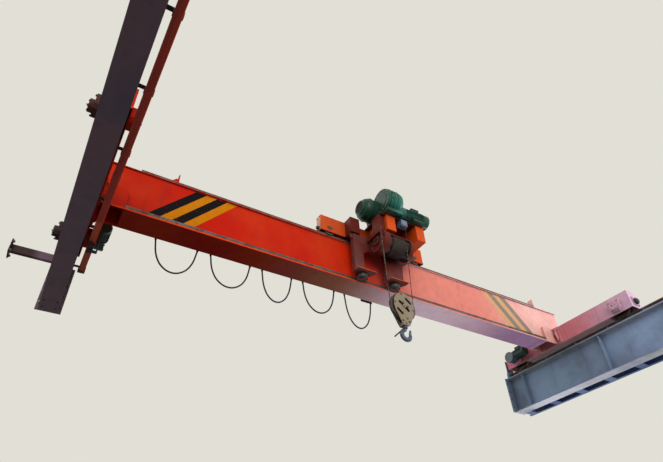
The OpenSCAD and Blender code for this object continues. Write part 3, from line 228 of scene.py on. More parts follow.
class Signal:
    """A socket in a node tree; arithmetic on it adds the nodes that work it out."""

    def __init__(self, nodes, socket):
        self.nodes = nodes
        self.socket = socket

    def worked(self, operation, first, second=0.0):
        kind = "ShaderNodeMath" if self.socket.type == "VALUE" else "ShaderNodeVectorMath"
        return self.nodes.node(kind, {"operation": operation}, {0: first, 1: second})

    def __add__(self, other):
        return self.worked("ADD", self, other)

    def __sub__(self, other):
        return self.worked("SUBTRACT", self, other)

    def __rsub__(self, other):
        return self.worked("SUBTRACT", other, self)

    def __mul__(self, other):
        return self.worked("MULTIPLY", self, other)

    def __pow__(self, other):
        return self.worked("POWER", self, other)

    def __abs__(self):
        return self.worked("ABSOLUTE", self)

    __radd__ = __add__
    __rmul__ = __mul__

    def least(self, other):
        return self.worked("MINIMUM", self, other)

    def most(self, other):
        return self.worked("MAXIMUM", self, other)

    def sine(self):
        return self.worked("SINE", self)

    def between(self, low, high):
        """0 below low, 1 above high and smooth from one to the other; the other way round if low is the larger."""
        ends = {"Value": self, "From Min": low, "From Max": high}
        if low > high:
            ends.update({"From Min": high, "From Max": low, "To Min": 1.0, "To Max": 0.0})
        return self.nodes.node("ShaderNodeMapRange", {"interpolation_type": "SMOOTHSTEP"}, ends)

    def past(self, place, soft=0.0005):
        """1 past a place and 0 before it."""
        return self.between(place - soft, place + soft)

    def before(self, place, soft=0.0005):
        """1 before a place and 0 past it."""
        return self.between(place + soft, place - soft)

    def held(self):
        """The value kept from 0 to 1."""
        return self.nodes.node("ShaderNodeClamp", {}, {"Value": self})


class Nodes:
    """A node tree and the one way in which nodes are added to it."""

    def __init__(self, tree):
        self.tree = tree

    def node(self, kind, settings=None, sockets=None, out=0):
        """Adds a node, sets it, then fills or links its sockets. It gives back one output, or the node itself."""
        made = self.tree.nodes.new(kind)
        for name, value in (settings or {}).items():
            setattr(made, name, value)
        for name, value in (sockets or {}).items():
            self.fill(made.inputs[name], value)
        return made if out is None else Signal(self, made.outputs[out])

    def fill(self, socket, value):
        if isinstance(value, Signal):
            self.tree.links.new(value.socket, socket)
        elif socket.type == "RGBA":
            socket.default_value = (*value[:3], 1.0)
        elif socket.type == "VECTOR" and isinstance(value, (int, float)):
            socket.default_value = (value, value, value)
        else:
            socket.default_value = value


class Finish(Nodes):
    """A material of the crane and the tools that make its looks."""

    def __init__(self, name, **constants):
        self.material = bpy.data.materials.new(name)
        self.material.use_nodes = True
        super().__init__(self.material.node_tree)
        self.surface = self.tree.nodes["Principled BSDF"]
        for socket, value in constants.items():
            self.surface.inputs[socket.replace("_", " ")].default_value = value
        self.where = self.node("ShaderNodeTexCoord", out="Object")
        parts = self.node("ShaderNodeSeparateXYZ", {}, {"Vector": self.where}, out=None)
        self.x, self.y, self.z = (Signal(self, s) for s in parts.outputs)

    def set(self, socket, value):
        self.fill(self.surface.inputs[socket], value)

    def dress(self, colour, roughness, metal=None, relief=None, depth=0.0004, radius=0.0):
        """Sets what varies over the surface."""
        self.set("Base Color", colour)
        self.set("Roughness", roughness.held())
        if metal:
            self.set("Metallic", metal.held())
        if relief:
            self.bump(relief, depth, radius)

    def mix(self, amount, under, over):
        """The colour under, covered by the colour over where amount is 1."""
        return self.node("ShaderNodeMix", {"data_type": "RGBA"}, {0: amount, 6: under, 7: over}, out=2)

    def noise(self, scale, detail=4.0, rough=0.55, stretch=(1, 1, 1)):
        place = self.where if stretch == (1, 1, 1) else self.where * stretch
        ends = {"Vector": place, "Scale": scale, "Detail": detail, "Roughness": rough}
        return self.node("ShaderNodeTexNoise", {}, ends)

    def cells(self, scale):
        """Distance to the nearest of many scattered points."""
        return self.node("ShaderNodeTexVoronoi", {}, {"Vector": self.where, "Scale": scale})

    def rounded(self, radius):
        """The surface's direction with its hard edges rounded."""
        return self.node("ShaderNodeBevel", {"samples": 4}, {"Radius": radius})

    def facing(self, axis):
        """How far the surface faces along an axis, from -1 to 1."""
        direction = self.node("ShaderNodeNewGeometry", out="Normal")
        return self.node("ShaderNodeVectorMath", {"operation": "DOT_PRODUCT"}, {0: direction, 1: axis}, out="Value")

    def underneath(self):
        """1 on the faces that look down."""
        return self.facing(-Z).between(0.5, 0.9)

    def edge(self, reach):
        """Above 0 along the edges, 0 on the flats."""
        return 1 - self.facing(self.rounded(reach))

    def corner(self, reach):
        """1 deep in the corners, 0 in the open."""
        return 1 - self.node("ShaderNodeAmbientOcclusion", {"samples": 4}, {"Distance": reach}, out="AO")

    def bump(self, height, depth, radius=0.0):
        ends = {"Height": height, "Distance": depth, "Strength": 1.0}
        if radius:
            ends["Normal"] = self.rounded(radius)
        self.set("Normal", self.node("ShaderNodeBump", {}, ends))


def tones():
    return bpy.context.scene.crane_colours


def lighter(tone, share):
    """A colour mixed with white in that share; a negative share mixes it with black."""
    end = 1.0 if share > 0 else 0.0
    return tuple(c + (end - c) * abs(share) for c in tone)


def away(first, second):
    """The distance that two differences make together."""
    return (first ** 2.0 + second ** 2.0) ** 0.5


def paint_over(finish, tone, faded, gloss=0.36, chips=1.0, grime=1.0, edge=0.005):
    """Brushed paint that has faded in patches, chipped along its edges and darkened in its corners by painted shade
    and runs of grime.
    """
    broad = finish.noise(1.1, 3)
    mottle = finish.noise(9, 6)
    grain = finish.noise(170, 3)
    runs = finish.noise(13, 4, stretch=(1, 1, 0.1))
    specks = finish.cells(38).between(0.16, 0.06) * finish.noise(2.3, 3).between(0.52, 0.66)
    wear = finish.edge(edge).between(0.02, 0.16) * mottle.between(0.44, 0.6)
    chip = ((wear + specks * 0.8) * chips).held()
    dust = finish.facing(Z).between(0.6, 0.95) * mottle.between(0.25, 0.7) * 0.5
    # Painted shade in the corners, from the ambient-occlusion node, with runs of grime down the faces
    grime_and_shade = ((finish.corner(0.14).between(0.25, 0.9) * 0.75 + runs.between(0.56, 0.78) * 0.4) * grime).held()
    look = finish.mix(broad.between(0.38, 0.66), tone, faded)
    look = finish.mix(mottle.between(0.35, 0.75) * 0.12, look, tones().grime_and_shade)
    look = finish.mix(dust * grime, look, srgb(138, 126, 110))
    look = finish.mix(grime_and_shade * 0.7, look, tones().grime_and_shade)
    look = finish.mix(chip, look, tones().rust)
    roughness = gloss + mottle * 0.16 + grime_and_shade * 0.3 + dust * 0.4 + chip * 0.3
    finish.dress(look, roughness, relief=grain * 0.2 + mottle * 0.8 - chip * 2.0, depth=0.0007, radius=edge)
    return look


def worn_metal(finish, tone, rusty, polish=None, rust=0.5):
    """Bare steel with rust in patches. Where polish is 1 it is rubbed bright."""
    mottle = finish.noise(8, 7, 0.62)
    fine = finish.noise(90, 5)
    eaten = (mottle * 0.7 + fine * 0.3).between(0.66 - rust * 0.3, 0.76 - rust * 0.24)
    if polish:
        eaten = (eaten * (1 - polish)).held()
    scratch = finish.noise(50, 3, stretch=(0.06, 1, 1))
    look = finish.mix(scratch.between(0.3, 0.7) * 0.5, tone, lighter(tone, -0.4))
    look = finish.mix(eaten * 0.9, look, rusty)
    look = finish.mix(eaten * fine.between(0.5, 0.62) * 0.6, look, lighter(rusty, -0.5))
    if polish:
        look = finish.mix(polish * 0.8, look, srgb(176, 174, 170))
    roughness = 0.4 + fine * 0.14 + eaten * 0.34
    finish.dress(look, roughness, 0.9 - eaten * 0.85, fine * 0.5 + eaten * 0.8, 0.0006, 0.002)


def girder_tone(finish):
    """The girder's red with painted light: painted glare towards the right, painted shade and light below, pink
    painted glare on the right truck, a painted highlight on the flange's edge and painted shadow at the left end.
    """
    web = finish.facing(-Y).between(0.5, 0.9)
    below = finish.underneath()
    # Painted highlight on the bottom flange's near edge
    tone = finish.mix(web * finish.z.before(flange_high.z), tones().girder, tones().flange_edge_highlight)
    # Painted shadow of the left runway beam: the girder darker towards its left end
    tone = finish.mix(finish.x.between(1.3, 0.3) * 0.3, tone, lighter(tones().girder, -0.5))
    # Painted glare of the windows on the girder, rising towards the right and strongest at its right end
    tone = finish.mix(finish.x.between(*GLARE_RISE) * 0.85, tone, tones().girder_glare)
    tone = finish.mix(finish.x.between(*GLARE_PEAK) * 0.75, tone, tones().girder_glare_peak)
    # The underside's tone is painted light and shade: painted shade at the left, lighter below the trolley, painted
    # glare from the floor at the right, painted shade again at the right truck
    underside = finish.mix(finish.x.between(1.8, 3.3), lighter(tones().girder, -0.58), tones().underside_lit_middle)
    underside = finish.mix(finish.x.between(3.1, 4.4), underside, tones().underside)
    underside = finish.mix(finish.x.between(4.7, 6.6), underside, tones().underside_shade_end)
    tone = finish.mix(below, tone, underside)
    # Painted glare and haze on the right truck, pale underneath
    glare = finish.mix(finish.y.between(1.5, 0.5), tones().truck_glare, tones().truck_glare_front)
    glare = finish.mix(below, glare, tones().underside)
    truck = finish.x.between(7.0, 7.36) * 0.9 * (1.0 - web * finish.y.between(1.2, 1.3) * 0.8)
    tone = finish.mix(truck, tone, glare)
    return finish.mix(finish.x.before(truck_low.x - 0.003, 0.001), tone, tones().axle_cover)


def girder_paint(finish):
    """The orange-red enamel of the girder and the trucks."""
    tone = girder_tone(finish)
    paint_over(finish, tone, finish.mix(0.08, tone, tones().girder_faded), gloss=0.34, chips=0.8, grime=0.7)


def runway_paint(finish):
    """Dark paint on the runway, warmer on the left beam; the right beam is tinted blue-grey by painted haze, with
    painted glare on its front part and underside.
    """
    middle = sum(RAIL_X) / 2
    right = finish.x.between(middle, middle + 2)
    # Painted haze over the right beam, painted glare on its front part and its underside
    tone = finish.mix(finish.x.between(middle - 2, middle + 2), tones().runway, tones().runway_right_haze)
    tone = finish.mix(right * finish.y.between(1.8, 0.2) * 0.7, tone, tones().runway_front_glare)
    tone = finish.mix(right * finish.underneath(), tone, tones().runway_below)
    tone = finish.mix(finish.x.between(-0.2, -0.3), tone, tones().tie)
    faded = finish.mix(finish.noise(1.7, 3).between(0.3, 0.7) * 0.6, tone, srgb(74, 76, 92))
    paint_over(finish, tone, faded, gloss=0.48, chips=0.7, grime=0.8)


def channel_paint(finish):
    """Dark blue paint of the channel and its battens beside the right beam."""
    paint_over(finish, tones().channel, lighter(tones().channel, 0.06), gloss=0.5, chips=0.6, grime=0.8)


def trolley_paint(finish):
    """The darker paint of the trolley's panel, platform and gear case; the shelves' edges carry a painted highlight
    in the crossbeams' orange.
    """
    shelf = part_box("hanging_panel")[0].z + 0.072
    # Painted highlight: the shelves' front rims in the crossbeams' bright orange
    rim = finish.z.before(shelf + 0.013) * finish.z.past(shelf - 0.001)
    rim = rim * (1 - abs(finish.facing(Z)).between(0.4, 0.6))
    tone = finish.mix(rim, tones().trolley, tones().crossbeam)
    faded = finish.mix(rim, lighter(tones().trolley, 0.05), tones().crossbeam)
    paint_over(finish, tone, faded, gloss=0.42, grime=1.2)


def crossbeam_paint(finish):
    """Bright orange, with painted shade on the carriage over the drum, between the crossbeams; the left crossbeam is
    like the panel as painted shade, and the carriage's end cap takes a painted reflection.
    """
    # Painted shade on the carriage between the crossbeams, above the drum
    carriage_shade = finish.x.between(3.15, 3.45) * finish.x.between(4.15, 3.9) * 0.75
    carriage_shade = carriage_shade * finish.y.between(CARRIAGE_FACE - 0.06, CARRIAGE_FACE)
    # Painted shade: the left crossbeam in the motor's shadow, in the panel's dark colour
    left = abs(finish.x - CROSSBEAM_X[0]).before(CROSSBEAM_HALF + 0.0015) * finish.y.before(CARRIAGE_FACE)
    tone = finish.mix(carriage_shade, tones().crossbeam, lighter(tones().crossbeam, -0.55))
    tone = finish.mix(left, tone, tones().trolley)
    # Painted reflection on the carriage's left end cap
    tone = finish.mix(finish.x.before(cross_low.x), tone, tones().carriage_cap_reflection)
    paint_over(finish, tone, finish.mix(0.14, tone, (0, 0, 0)), gloss=0.38, chips=0.8, grime=0.9)


def drum_cover_paint(finish):
    """The drum's cover, near black on its inside."""
    look = paint_over(finish, tones().trolley, lighter(tones().trolley, -0.2), gloss=0.4, grime=1.3)
    # Near black on the cover's inside, around the drum
    inside = away(finish.y - drum_at.y, finish.z - drum_at.z).before(0.1595, 0.001)
    inside = inside * (finish.x - drum_low.x).between(0.02, 0.03) * (drum_high.x - finish.x).between(0.02, 0.03)
    finish.set("Base Color", finish.mix(inside * 0.9, look, srgb(34, 24, 22)))


def motor_paint(finish):
    """Glossy green enamel, darker in the cast roots, with patches of painted shade on the faces that look down."""
    look = paint_over(finish, tones().motor, tones().motor_pale, gloss=0.3, chips=0.5, grime=0.9, edge=0.004)
    # Painted shade in patches on the motors' downward faces
    motor_underside_shade = finish.noise(5, 4).between(0.55, 0.7) * finish.facing(-Z).between(0.1, 0.7)
    finish.set("Base Color", finish.mix(motor_underside_shade * 0.7, look, srgb(18, 26, 22)))


def travel_drive_paint(finish):
    """The travel drives: green castings, greyer on the right, on a foot painted with the truck."""
    foot = finish.z.between(AXLE_Z + 0.046, AXLE_Z + 0.049) * finish.y.before(WHEEL_Y[1] - 0.095)
    casting = finish.mix(finish.x.between(3.0, 4.0) * 0.7, lighter(tones().motor, -0.3), tones().drive_right)
    tone = finish.mix(foot, casting, girder_tone(finish))
    paint_over(finish, tone, tone, gloss=0.32, grime=1.2)


def block_paint(finish):
    """Dusty khaki paint of the hook block, rubbed through at its edges."""
    paint_over(finish, tones().block, lighter(tones().block, 0.15), gloss=0.5, chips=1.3, grime=1.1)


def box_paint(finish):
    """Grey enamel of the terminal box."""
    paint_over(finish, tones().box, lighter(tones().box, 0.1), gloss=0.3, grime=0.6)


def rail_steel(finish):
    """Rusty rolled steel; the rails' heads are rubbed bright by the wheels."""
    head = finish.z.past(RAIL_TOP - 0.002, 0.001) * finish.z.before(RAIL_TOP + 0.003, 0.001)
    trolley_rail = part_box("top_rail")[1].z
    head = head + finish.z.between(trolley_rail - 0.002, trolley_rail - 0.0005)
    worn_metal(finish, tones().steel, tones().rust, polish=head.held(), rust=0.75)


def wheel_steel(finish):
    """Cast steel wheels with bright treads and oily hubs."""
    near = abs(finish.y - WHEEL_Y[0]).least(abs(finish.y - WHEEL_Y[1]))
    side = abs(finish.x - RAIL_X[0]).least(abs(finish.x - RAIL_X[1]))
    tread = side.before(0.025, 0.001) * away(near, finish.z - AXLE_Z).past(WHEEL_R - 0.003, 0.001)
    worn_metal(finish, srgb(96, 88, 82), tones().rust, polish=tread, rust=0.55)


def turned_steel(finish):
    """Machined steel with a film of old grease, for the small wheels, the rollers and the sheave."""
    worn_metal(finish, srgb(104, 98, 92), srgb(70, 50, 38))


def drum_steel(finish):
    """The drum: greased grooves, and the wound rope with its strands."""
    y, z = finish.y - drum_at.y, finish.z - drum_at.z
    rope = finish.x.past(ROPE_X[0], 0.001) * finish.x.before(ROPE_X[1], 0.001) * away(y, z).past(ROPE_R, 0.0002)
    lay = (y.worked("ARCTAN2", y, z) * 66.0 + finish.x * 520.0).sine()
    grime = finish.noise(24, 5)
    look = finish.mix(grime.between(0.4, 0.65), srgb(62, 48, 42), srgb(30, 22, 19))
    look = finish.mix(rope * lay.between(-0.4, 0.8), look, srgb(84, 70, 60))
    finish.dress(look, 0.34 + grime * 0.3, 0.8 - grime * 0.5, rope * lay + grime * 0.4, 0.001)


def rope_steel(finish):
    """Greased wire strands."""
    grease = finish.noise(30, 4)
    wires = (finish.z * 2600.0 + finish.x * 1900.0 + finish.y * 1900.0).sine()
    look = finish.mix(grease.between(0.4, 0.62), srgb(118, 110, 100), srgb(44, 36, 32))
    finish.dress(look, 0.32 + grease * 0.34, 0.85 - grease * 0.5, wires, 0.0003)


def hook_steel(finish):
    """Forged steel: a dark scale with a bright saddle where slings have rubbed."""
    scale = finish.noise(26, 6)
    bowl = sheave_at.z - HOOK_DROP
    reach = away(finish.x - sheave_at.x, finish.z - bowl)
    saddle = reach.between(HOOK_BOWL + 0.008, HOOK_BOWL + 0.001) * finish.z.before(bowl - 0.02, 0.005)
    look = finish.mix(scale.between(0.4, 0.62), tones().hook, lighter(tones().hook, -0.45))
    look = finish.mix(scale.between(0.62, 0.72) * 0.6, look, tones().rust)
    look = finish.mix(saddle * 0.8, look, srgb(170, 172, 178))
    roughness = 0.46 + scale * 0.2 - saddle * 0.25
    finish.dress(look, roughness, 0.65 + saddle * 0.3, scale * 0.8 + finish.cells(120) * 0.4, 0.0008)


def cable_rubber(finish):
    """Matt rubber sheath with dust along its top and fine mould lines."""
    dust = finish.noise(22, 5).between(0.45, 0.7) * finish.facing(Z).between(-0.2, 0.8)
    look = finish.mix(dust * 0.35, tones().cable, srgb(96, 90, 84))
    finish.dress(look, 0.52 + dust * 0.3, relief=finish.noise(240, 3), depth=0.0003)


def moulded_rubber(finish):
    """Bumpers and sleeves."""
    mould = finish.noise(60, 4)
    look = finish.mix(mould.between(0.4, 0.7), srgb(24, 23, 24), srgb(58, 54, 52))
    finish.dress(look, 0.6 + mould * 0.2, relief=mould, depth=0.0006, radius=0.003)


def buffer_finish(finish):
    """The buffers: black rubber on plates painted with the trucks."""
    plate = finish.y.before(truck_high.y + PLATE) * finish.y.past(truck_low.y - PLATE)
    mould = finish.noise(40, 5)
    rubber = finish.mix(mould.between(0.4, 0.7), srgb(24, 23, 24), srgb(60, 56, 54))
    look = finish.mix(plate, rubber, girder_tone(finish))
    finish.dress(look, 0.68 - plate * 0.25 + mould * 0.12, relief=mould, depth=0.0006, radius=0.003)


def black_plastic(finish):
    """Moulded plastic and blackened steel of the hangers, the collector and the cable carriers."""
    dust = finish.noise(12, 6).between(0.42, 0.7)
    look = finish.mix(dust * 0.4, srgb(24, 22, 23), srgb(86, 78, 70))
    finish.dress(look, 0.42 + dust * 0.3, relief=finish.noise(200, 3), depth=0.0003, radius=0.002)


def conductor_cover(finish):
    """The conductor bar's plastic cover: dusty dark red, paler over its far part, with a painted highlight along one
    edge.
    """
    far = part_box("conductor_bar")[1]
    dust = finish.noise(6, 6, stretch=(1, 0.15, 1))
    look = finish.mix(finish.y.between(far.y - 1.05, far.y - 1.0) * 0.75, tones().conductor, tones().conductor_new)
    # Painted highlight: a bright strip along the bar's right edge
    look = finish.mix(finish.x.past(far.x - 0.011), look, tones().conductor_edge_highlight)
    look = finish.mix(dust.between(0.45, 0.7) * 0.45, look, srgb(58, 30, 26))
    look = finish.mix(finish.facing(Z).between(0.5, 0.9) * 0.5, look, srgb(132, 118, 104))
    finish.dress(look, 0.44 + dust * 0.25, relief=finish.noise(150, 3) * 0.5 + dust, depth=0.0005, radius=0.003)


def fastener_zinc(finish):
    """Dull zinc on bolts and nuts, with rust creeping in."""
    spots = finish.noise(45, 5)
    rust = spots.between(0.52, 0.64)
    look = finish.mix(rust * 0.85, tones().fastener, tones().rust)
    finish.dress(look, 0.36 + spots * 0.3, 0.85 - rust * 0.7, spots)


def painted_fastener(finish):
    """Bolts painted over with the part that they hold."""
    spots = finish.noise(60, 4)
    tone = finish.mix(0.3, girder_tone(finish), tones().grime_and_shade)
    finish.dress(finish.mix(spots.between(0.55, 0.66), tone, tones().rust), 0.4 + spots * 0.25, relief=spots)


def weld_metal(finish):
    """Weld beads under paint, with the ripple of the arc."""
    ripple = (finish.x * 900.0 + finish.noise(30, 3) * 6.0).sine()
    look = finish.mix(ripple.between(-0.2, 1.0) * 0.25, girder_tone(finish), tones().grime_and_shade)
    finish.dress(look, 0.42 + ripple * 0.06, relief=ripple, depth=0.0012)


def stripe_paint(finish, tone):
    """A painted band, worn through in flecks to the girder's own paint, with painted glare towards the right."""
    mottle = finish.noise(10, 6)
    flecks = finish.cells(46).between(0.2, 0.1) * finish.noise(4, 3).between(0.5, 0.62)
    scuffs = finish.noise(30, 5, stretch=(0.2, 1, 1)).between(0.64, 0.72)
    bare = (flecks + scuffs * 0.5).held()
    # Painted glare of the windows on the bands and their flecks, rising towards the right
    glare_share = finish.x.between(*GLARE_RISE)
    look = finish.mix(mottle.between(0.4, 0.7) * 0.35, tone, lighter(tone, -0.35))
    look = finish.mix(bare, look, finish.mix(glare_share, tones().girder, tones().girder_glare))
    look = finish.mix(glare_share * 0.3, look, tones().stripe_glare)
    finish.dress(look, 0.38 + mottle * 0.2, relief=mottle * 0.6 - bare)


def dark_stripe(finish):
    stripe_paint(finish, tones().stripe_dark)


def amber_stripe(finish):
    stripe_paint(finish, tones().stripe_amber)


def dark_opening(finish):
    """The unlit inside behind a fan guard."""
    soot = finish.noise(30, 4)
    finish.dress(finish.mix(soot, srgb(14, 16, 15), srgb(32, 34, 32)), 0.7 + soot * 0.2)


def floor_paint(finish):
    """Pale to the camera and dimmer in the light that it throws back."""
    pale = bpy.context.scene.crane_stage.floor
    rays = finish.node("ShaderNodeLightPath", out=None).outputs
    seen = Signal(finish, rays["Is Camera Ray"]) + Signal(finish, rays["Is Transmission Ray"])
    speckled = finish.mix(finish.noise(3, 6).between(0.4, 0.6) * 0.12, pale, lighter(pale, -0.2))
    finish.set("Base Color", finish.mix(seen.held(), lighter(pale, -0.78), speckled))


# Each finish: its maker, the record's slot that it fills and the shader's constants
FINISHES = {
    "girder_paint": (girder_paint, "girder_paint", {"Specular_IOR_Level": 0.05}),
    "runway_paint": (runway_paint, "runway_paint", {"Specular_IOR_Level": 0.25}),
    "channel_paint": (channel_paint, "runway_paint", {"Specular_IOR_Level": 0.2}),
    "trolley_paint": (trolley_paint, "trolley_paint", {"Specular_IOR_Level": 0.15}),
    "crossbeam_paint": (crossbeam_paint, "cover_paint", {"Specular_IOR_Level": 0.12}),
    "drum_cover": (drum_cover_paint, "trolley_paint", {"Specular_IOR_Level": 0.2}),
    "motor_green": (
        motor_paint, "motor_green", {"Coat_Weight": 0.1, "Coat_Roughness": 0.12, "Specular_IOR_Level": 0.25}
    ),
    "travel_drive": (travel_drive_paint, "motor_green", {"Coat_Weight": 0.3, "Coat_Roughness": 0.2}),
    "block_paint": (block_paint, "block_paint", {}),
    "box_grey": (box_paint, "box_grey", {"Coat_Weight": 0.2, "Coat_Roughness": 0.2}),
    "rail_steel": (rail_steel, "rail_steel", {}),
    "wheel_steel": (wheel_steel, "wheel_steel", {}),
    "turned_steel": (turned_steel, "wheel_steel", {}),
    "drum_steel": (drum_steel, "wheel_steel", {}),
    "rope_steel": (rope_steel, "rope_steel", {}),
    "hook_steel": (hook_steel, "hook_steel", {}),
    "cable_rubber": (cable_rubber, "cable_rubber", {"Sheen_Weight": 0.08}),
    "rubber": (moulded_rubber, "rubber", {}),
    "buffer": (buffer_finish, "rubber", {}),
    "black_plastic": (black_plastic, "black_plastic", {}),
    "conductor_cover": (conductor_cover, "conductor_cover", {}),
    "fastener_zinc": (fastener_zinc, None, {}),
    "painted_fastener": (painted_fastener, None, {"Specular_IOR_Level": 0.2}),
    "weld_bead": (weld_metal, "girder_paint", {"Specular_IOR_Level": 0.2}),
    "dark_stripe": (dark_stripe, None, {"Specular_IOR_Level": 0.05}),
    "amber_stripe": (amber_stripe, None, {"Specular_IOR_Level": 0.05}),
    "dark_opening": (dark_opening, None, {}),
    "floor_paint": (floor_paint, None, {"Roughness": 0.8}),
}

# The nodes of the frame that each finish covers
NODE_FINISH = {
    "runway_paint": "runway_beam_left runway_beam_right end_stops wall_tie",
    "channel_paint": "side_channel",
    "rail_steel": "crane_rails guide_bar top_rail festoon_track",
    "conductor_cover": "conductor_bar",
    "black_plastic": "conductor_hangers collector_arm carrier_1 carrier_2 carrier_3 carrier_4",
    "girder_paint": (
        "girder_bottom_flange girder_top_flange girder_webs girder_ends trolley_stops truck_brackets "
        "end_truck_left end_truck_right axle_boxes"
    ),
    "buffer": "truck_buffers",
    "travel_drive": "travel_drives",
    "motor_green": "hoist_motor hoist_gearbox trolley_motor",
    "wheel_steel": "wheel_left_near wheel_left_far wheel_right_near wheel_right_far",
    "turned_steel": "trolley_wheel_left trolley_wheel_right guide_roller_left guide_roller_right sheave tow_arm",
    "drum_steel": "rope_drum",
    "trolley_paint": "hanging_panel motor_platform gear_case rope_anchor",
    "crossbeam_paint": "crossbeams",
    "drum_cover": "drum_cover",
    "box_grey": "terminal_box",
    "block_paint": "block_cheeks block_crosshead",
    "rope_steel": "sheave_rope hoist_ropes",
    "hook_steel": "hook hook_lever",
    "cable_rubber": "loop_1 loop_2 loop_3 loop_4 loop_5",
}

materials = {}


def material(name):
    """The finish of that name, made when it is first asked for."""
    if name not in materials:
        maker, slot, constants = FINISHES[name]
        finish = Finish(name, **constants)
        maker(finish)
        materials[name] = finish.material
    return materials[name]


# Shapes


def placed(at, axis):
    """The transform that puts a shape's own Z along an axis, at a place."""
    return Matrix.Translation(Vector(at)) @ Vector(axis).to_track_quat("Z", "Y").to_matrix().to_4x4()


def circle(place, radius, count, height=0.0, turn=0.0):
    """Points evenly round a circle, with the angle of each."""
    angles = [2 * math.pi * k / count + turn for k in range(count)]
    return [(place @ Vector((radius * math.cos(a), radius * math.sin(a), height)), a) for a in angles]


def fillet(corner, first, second, full=0.62):
    """The outline of a fillet weld between two legs out of a corner."""
    corner = Vector(corner)
    return [corner, corner + first, corner + (first + second) * full, corner + second]


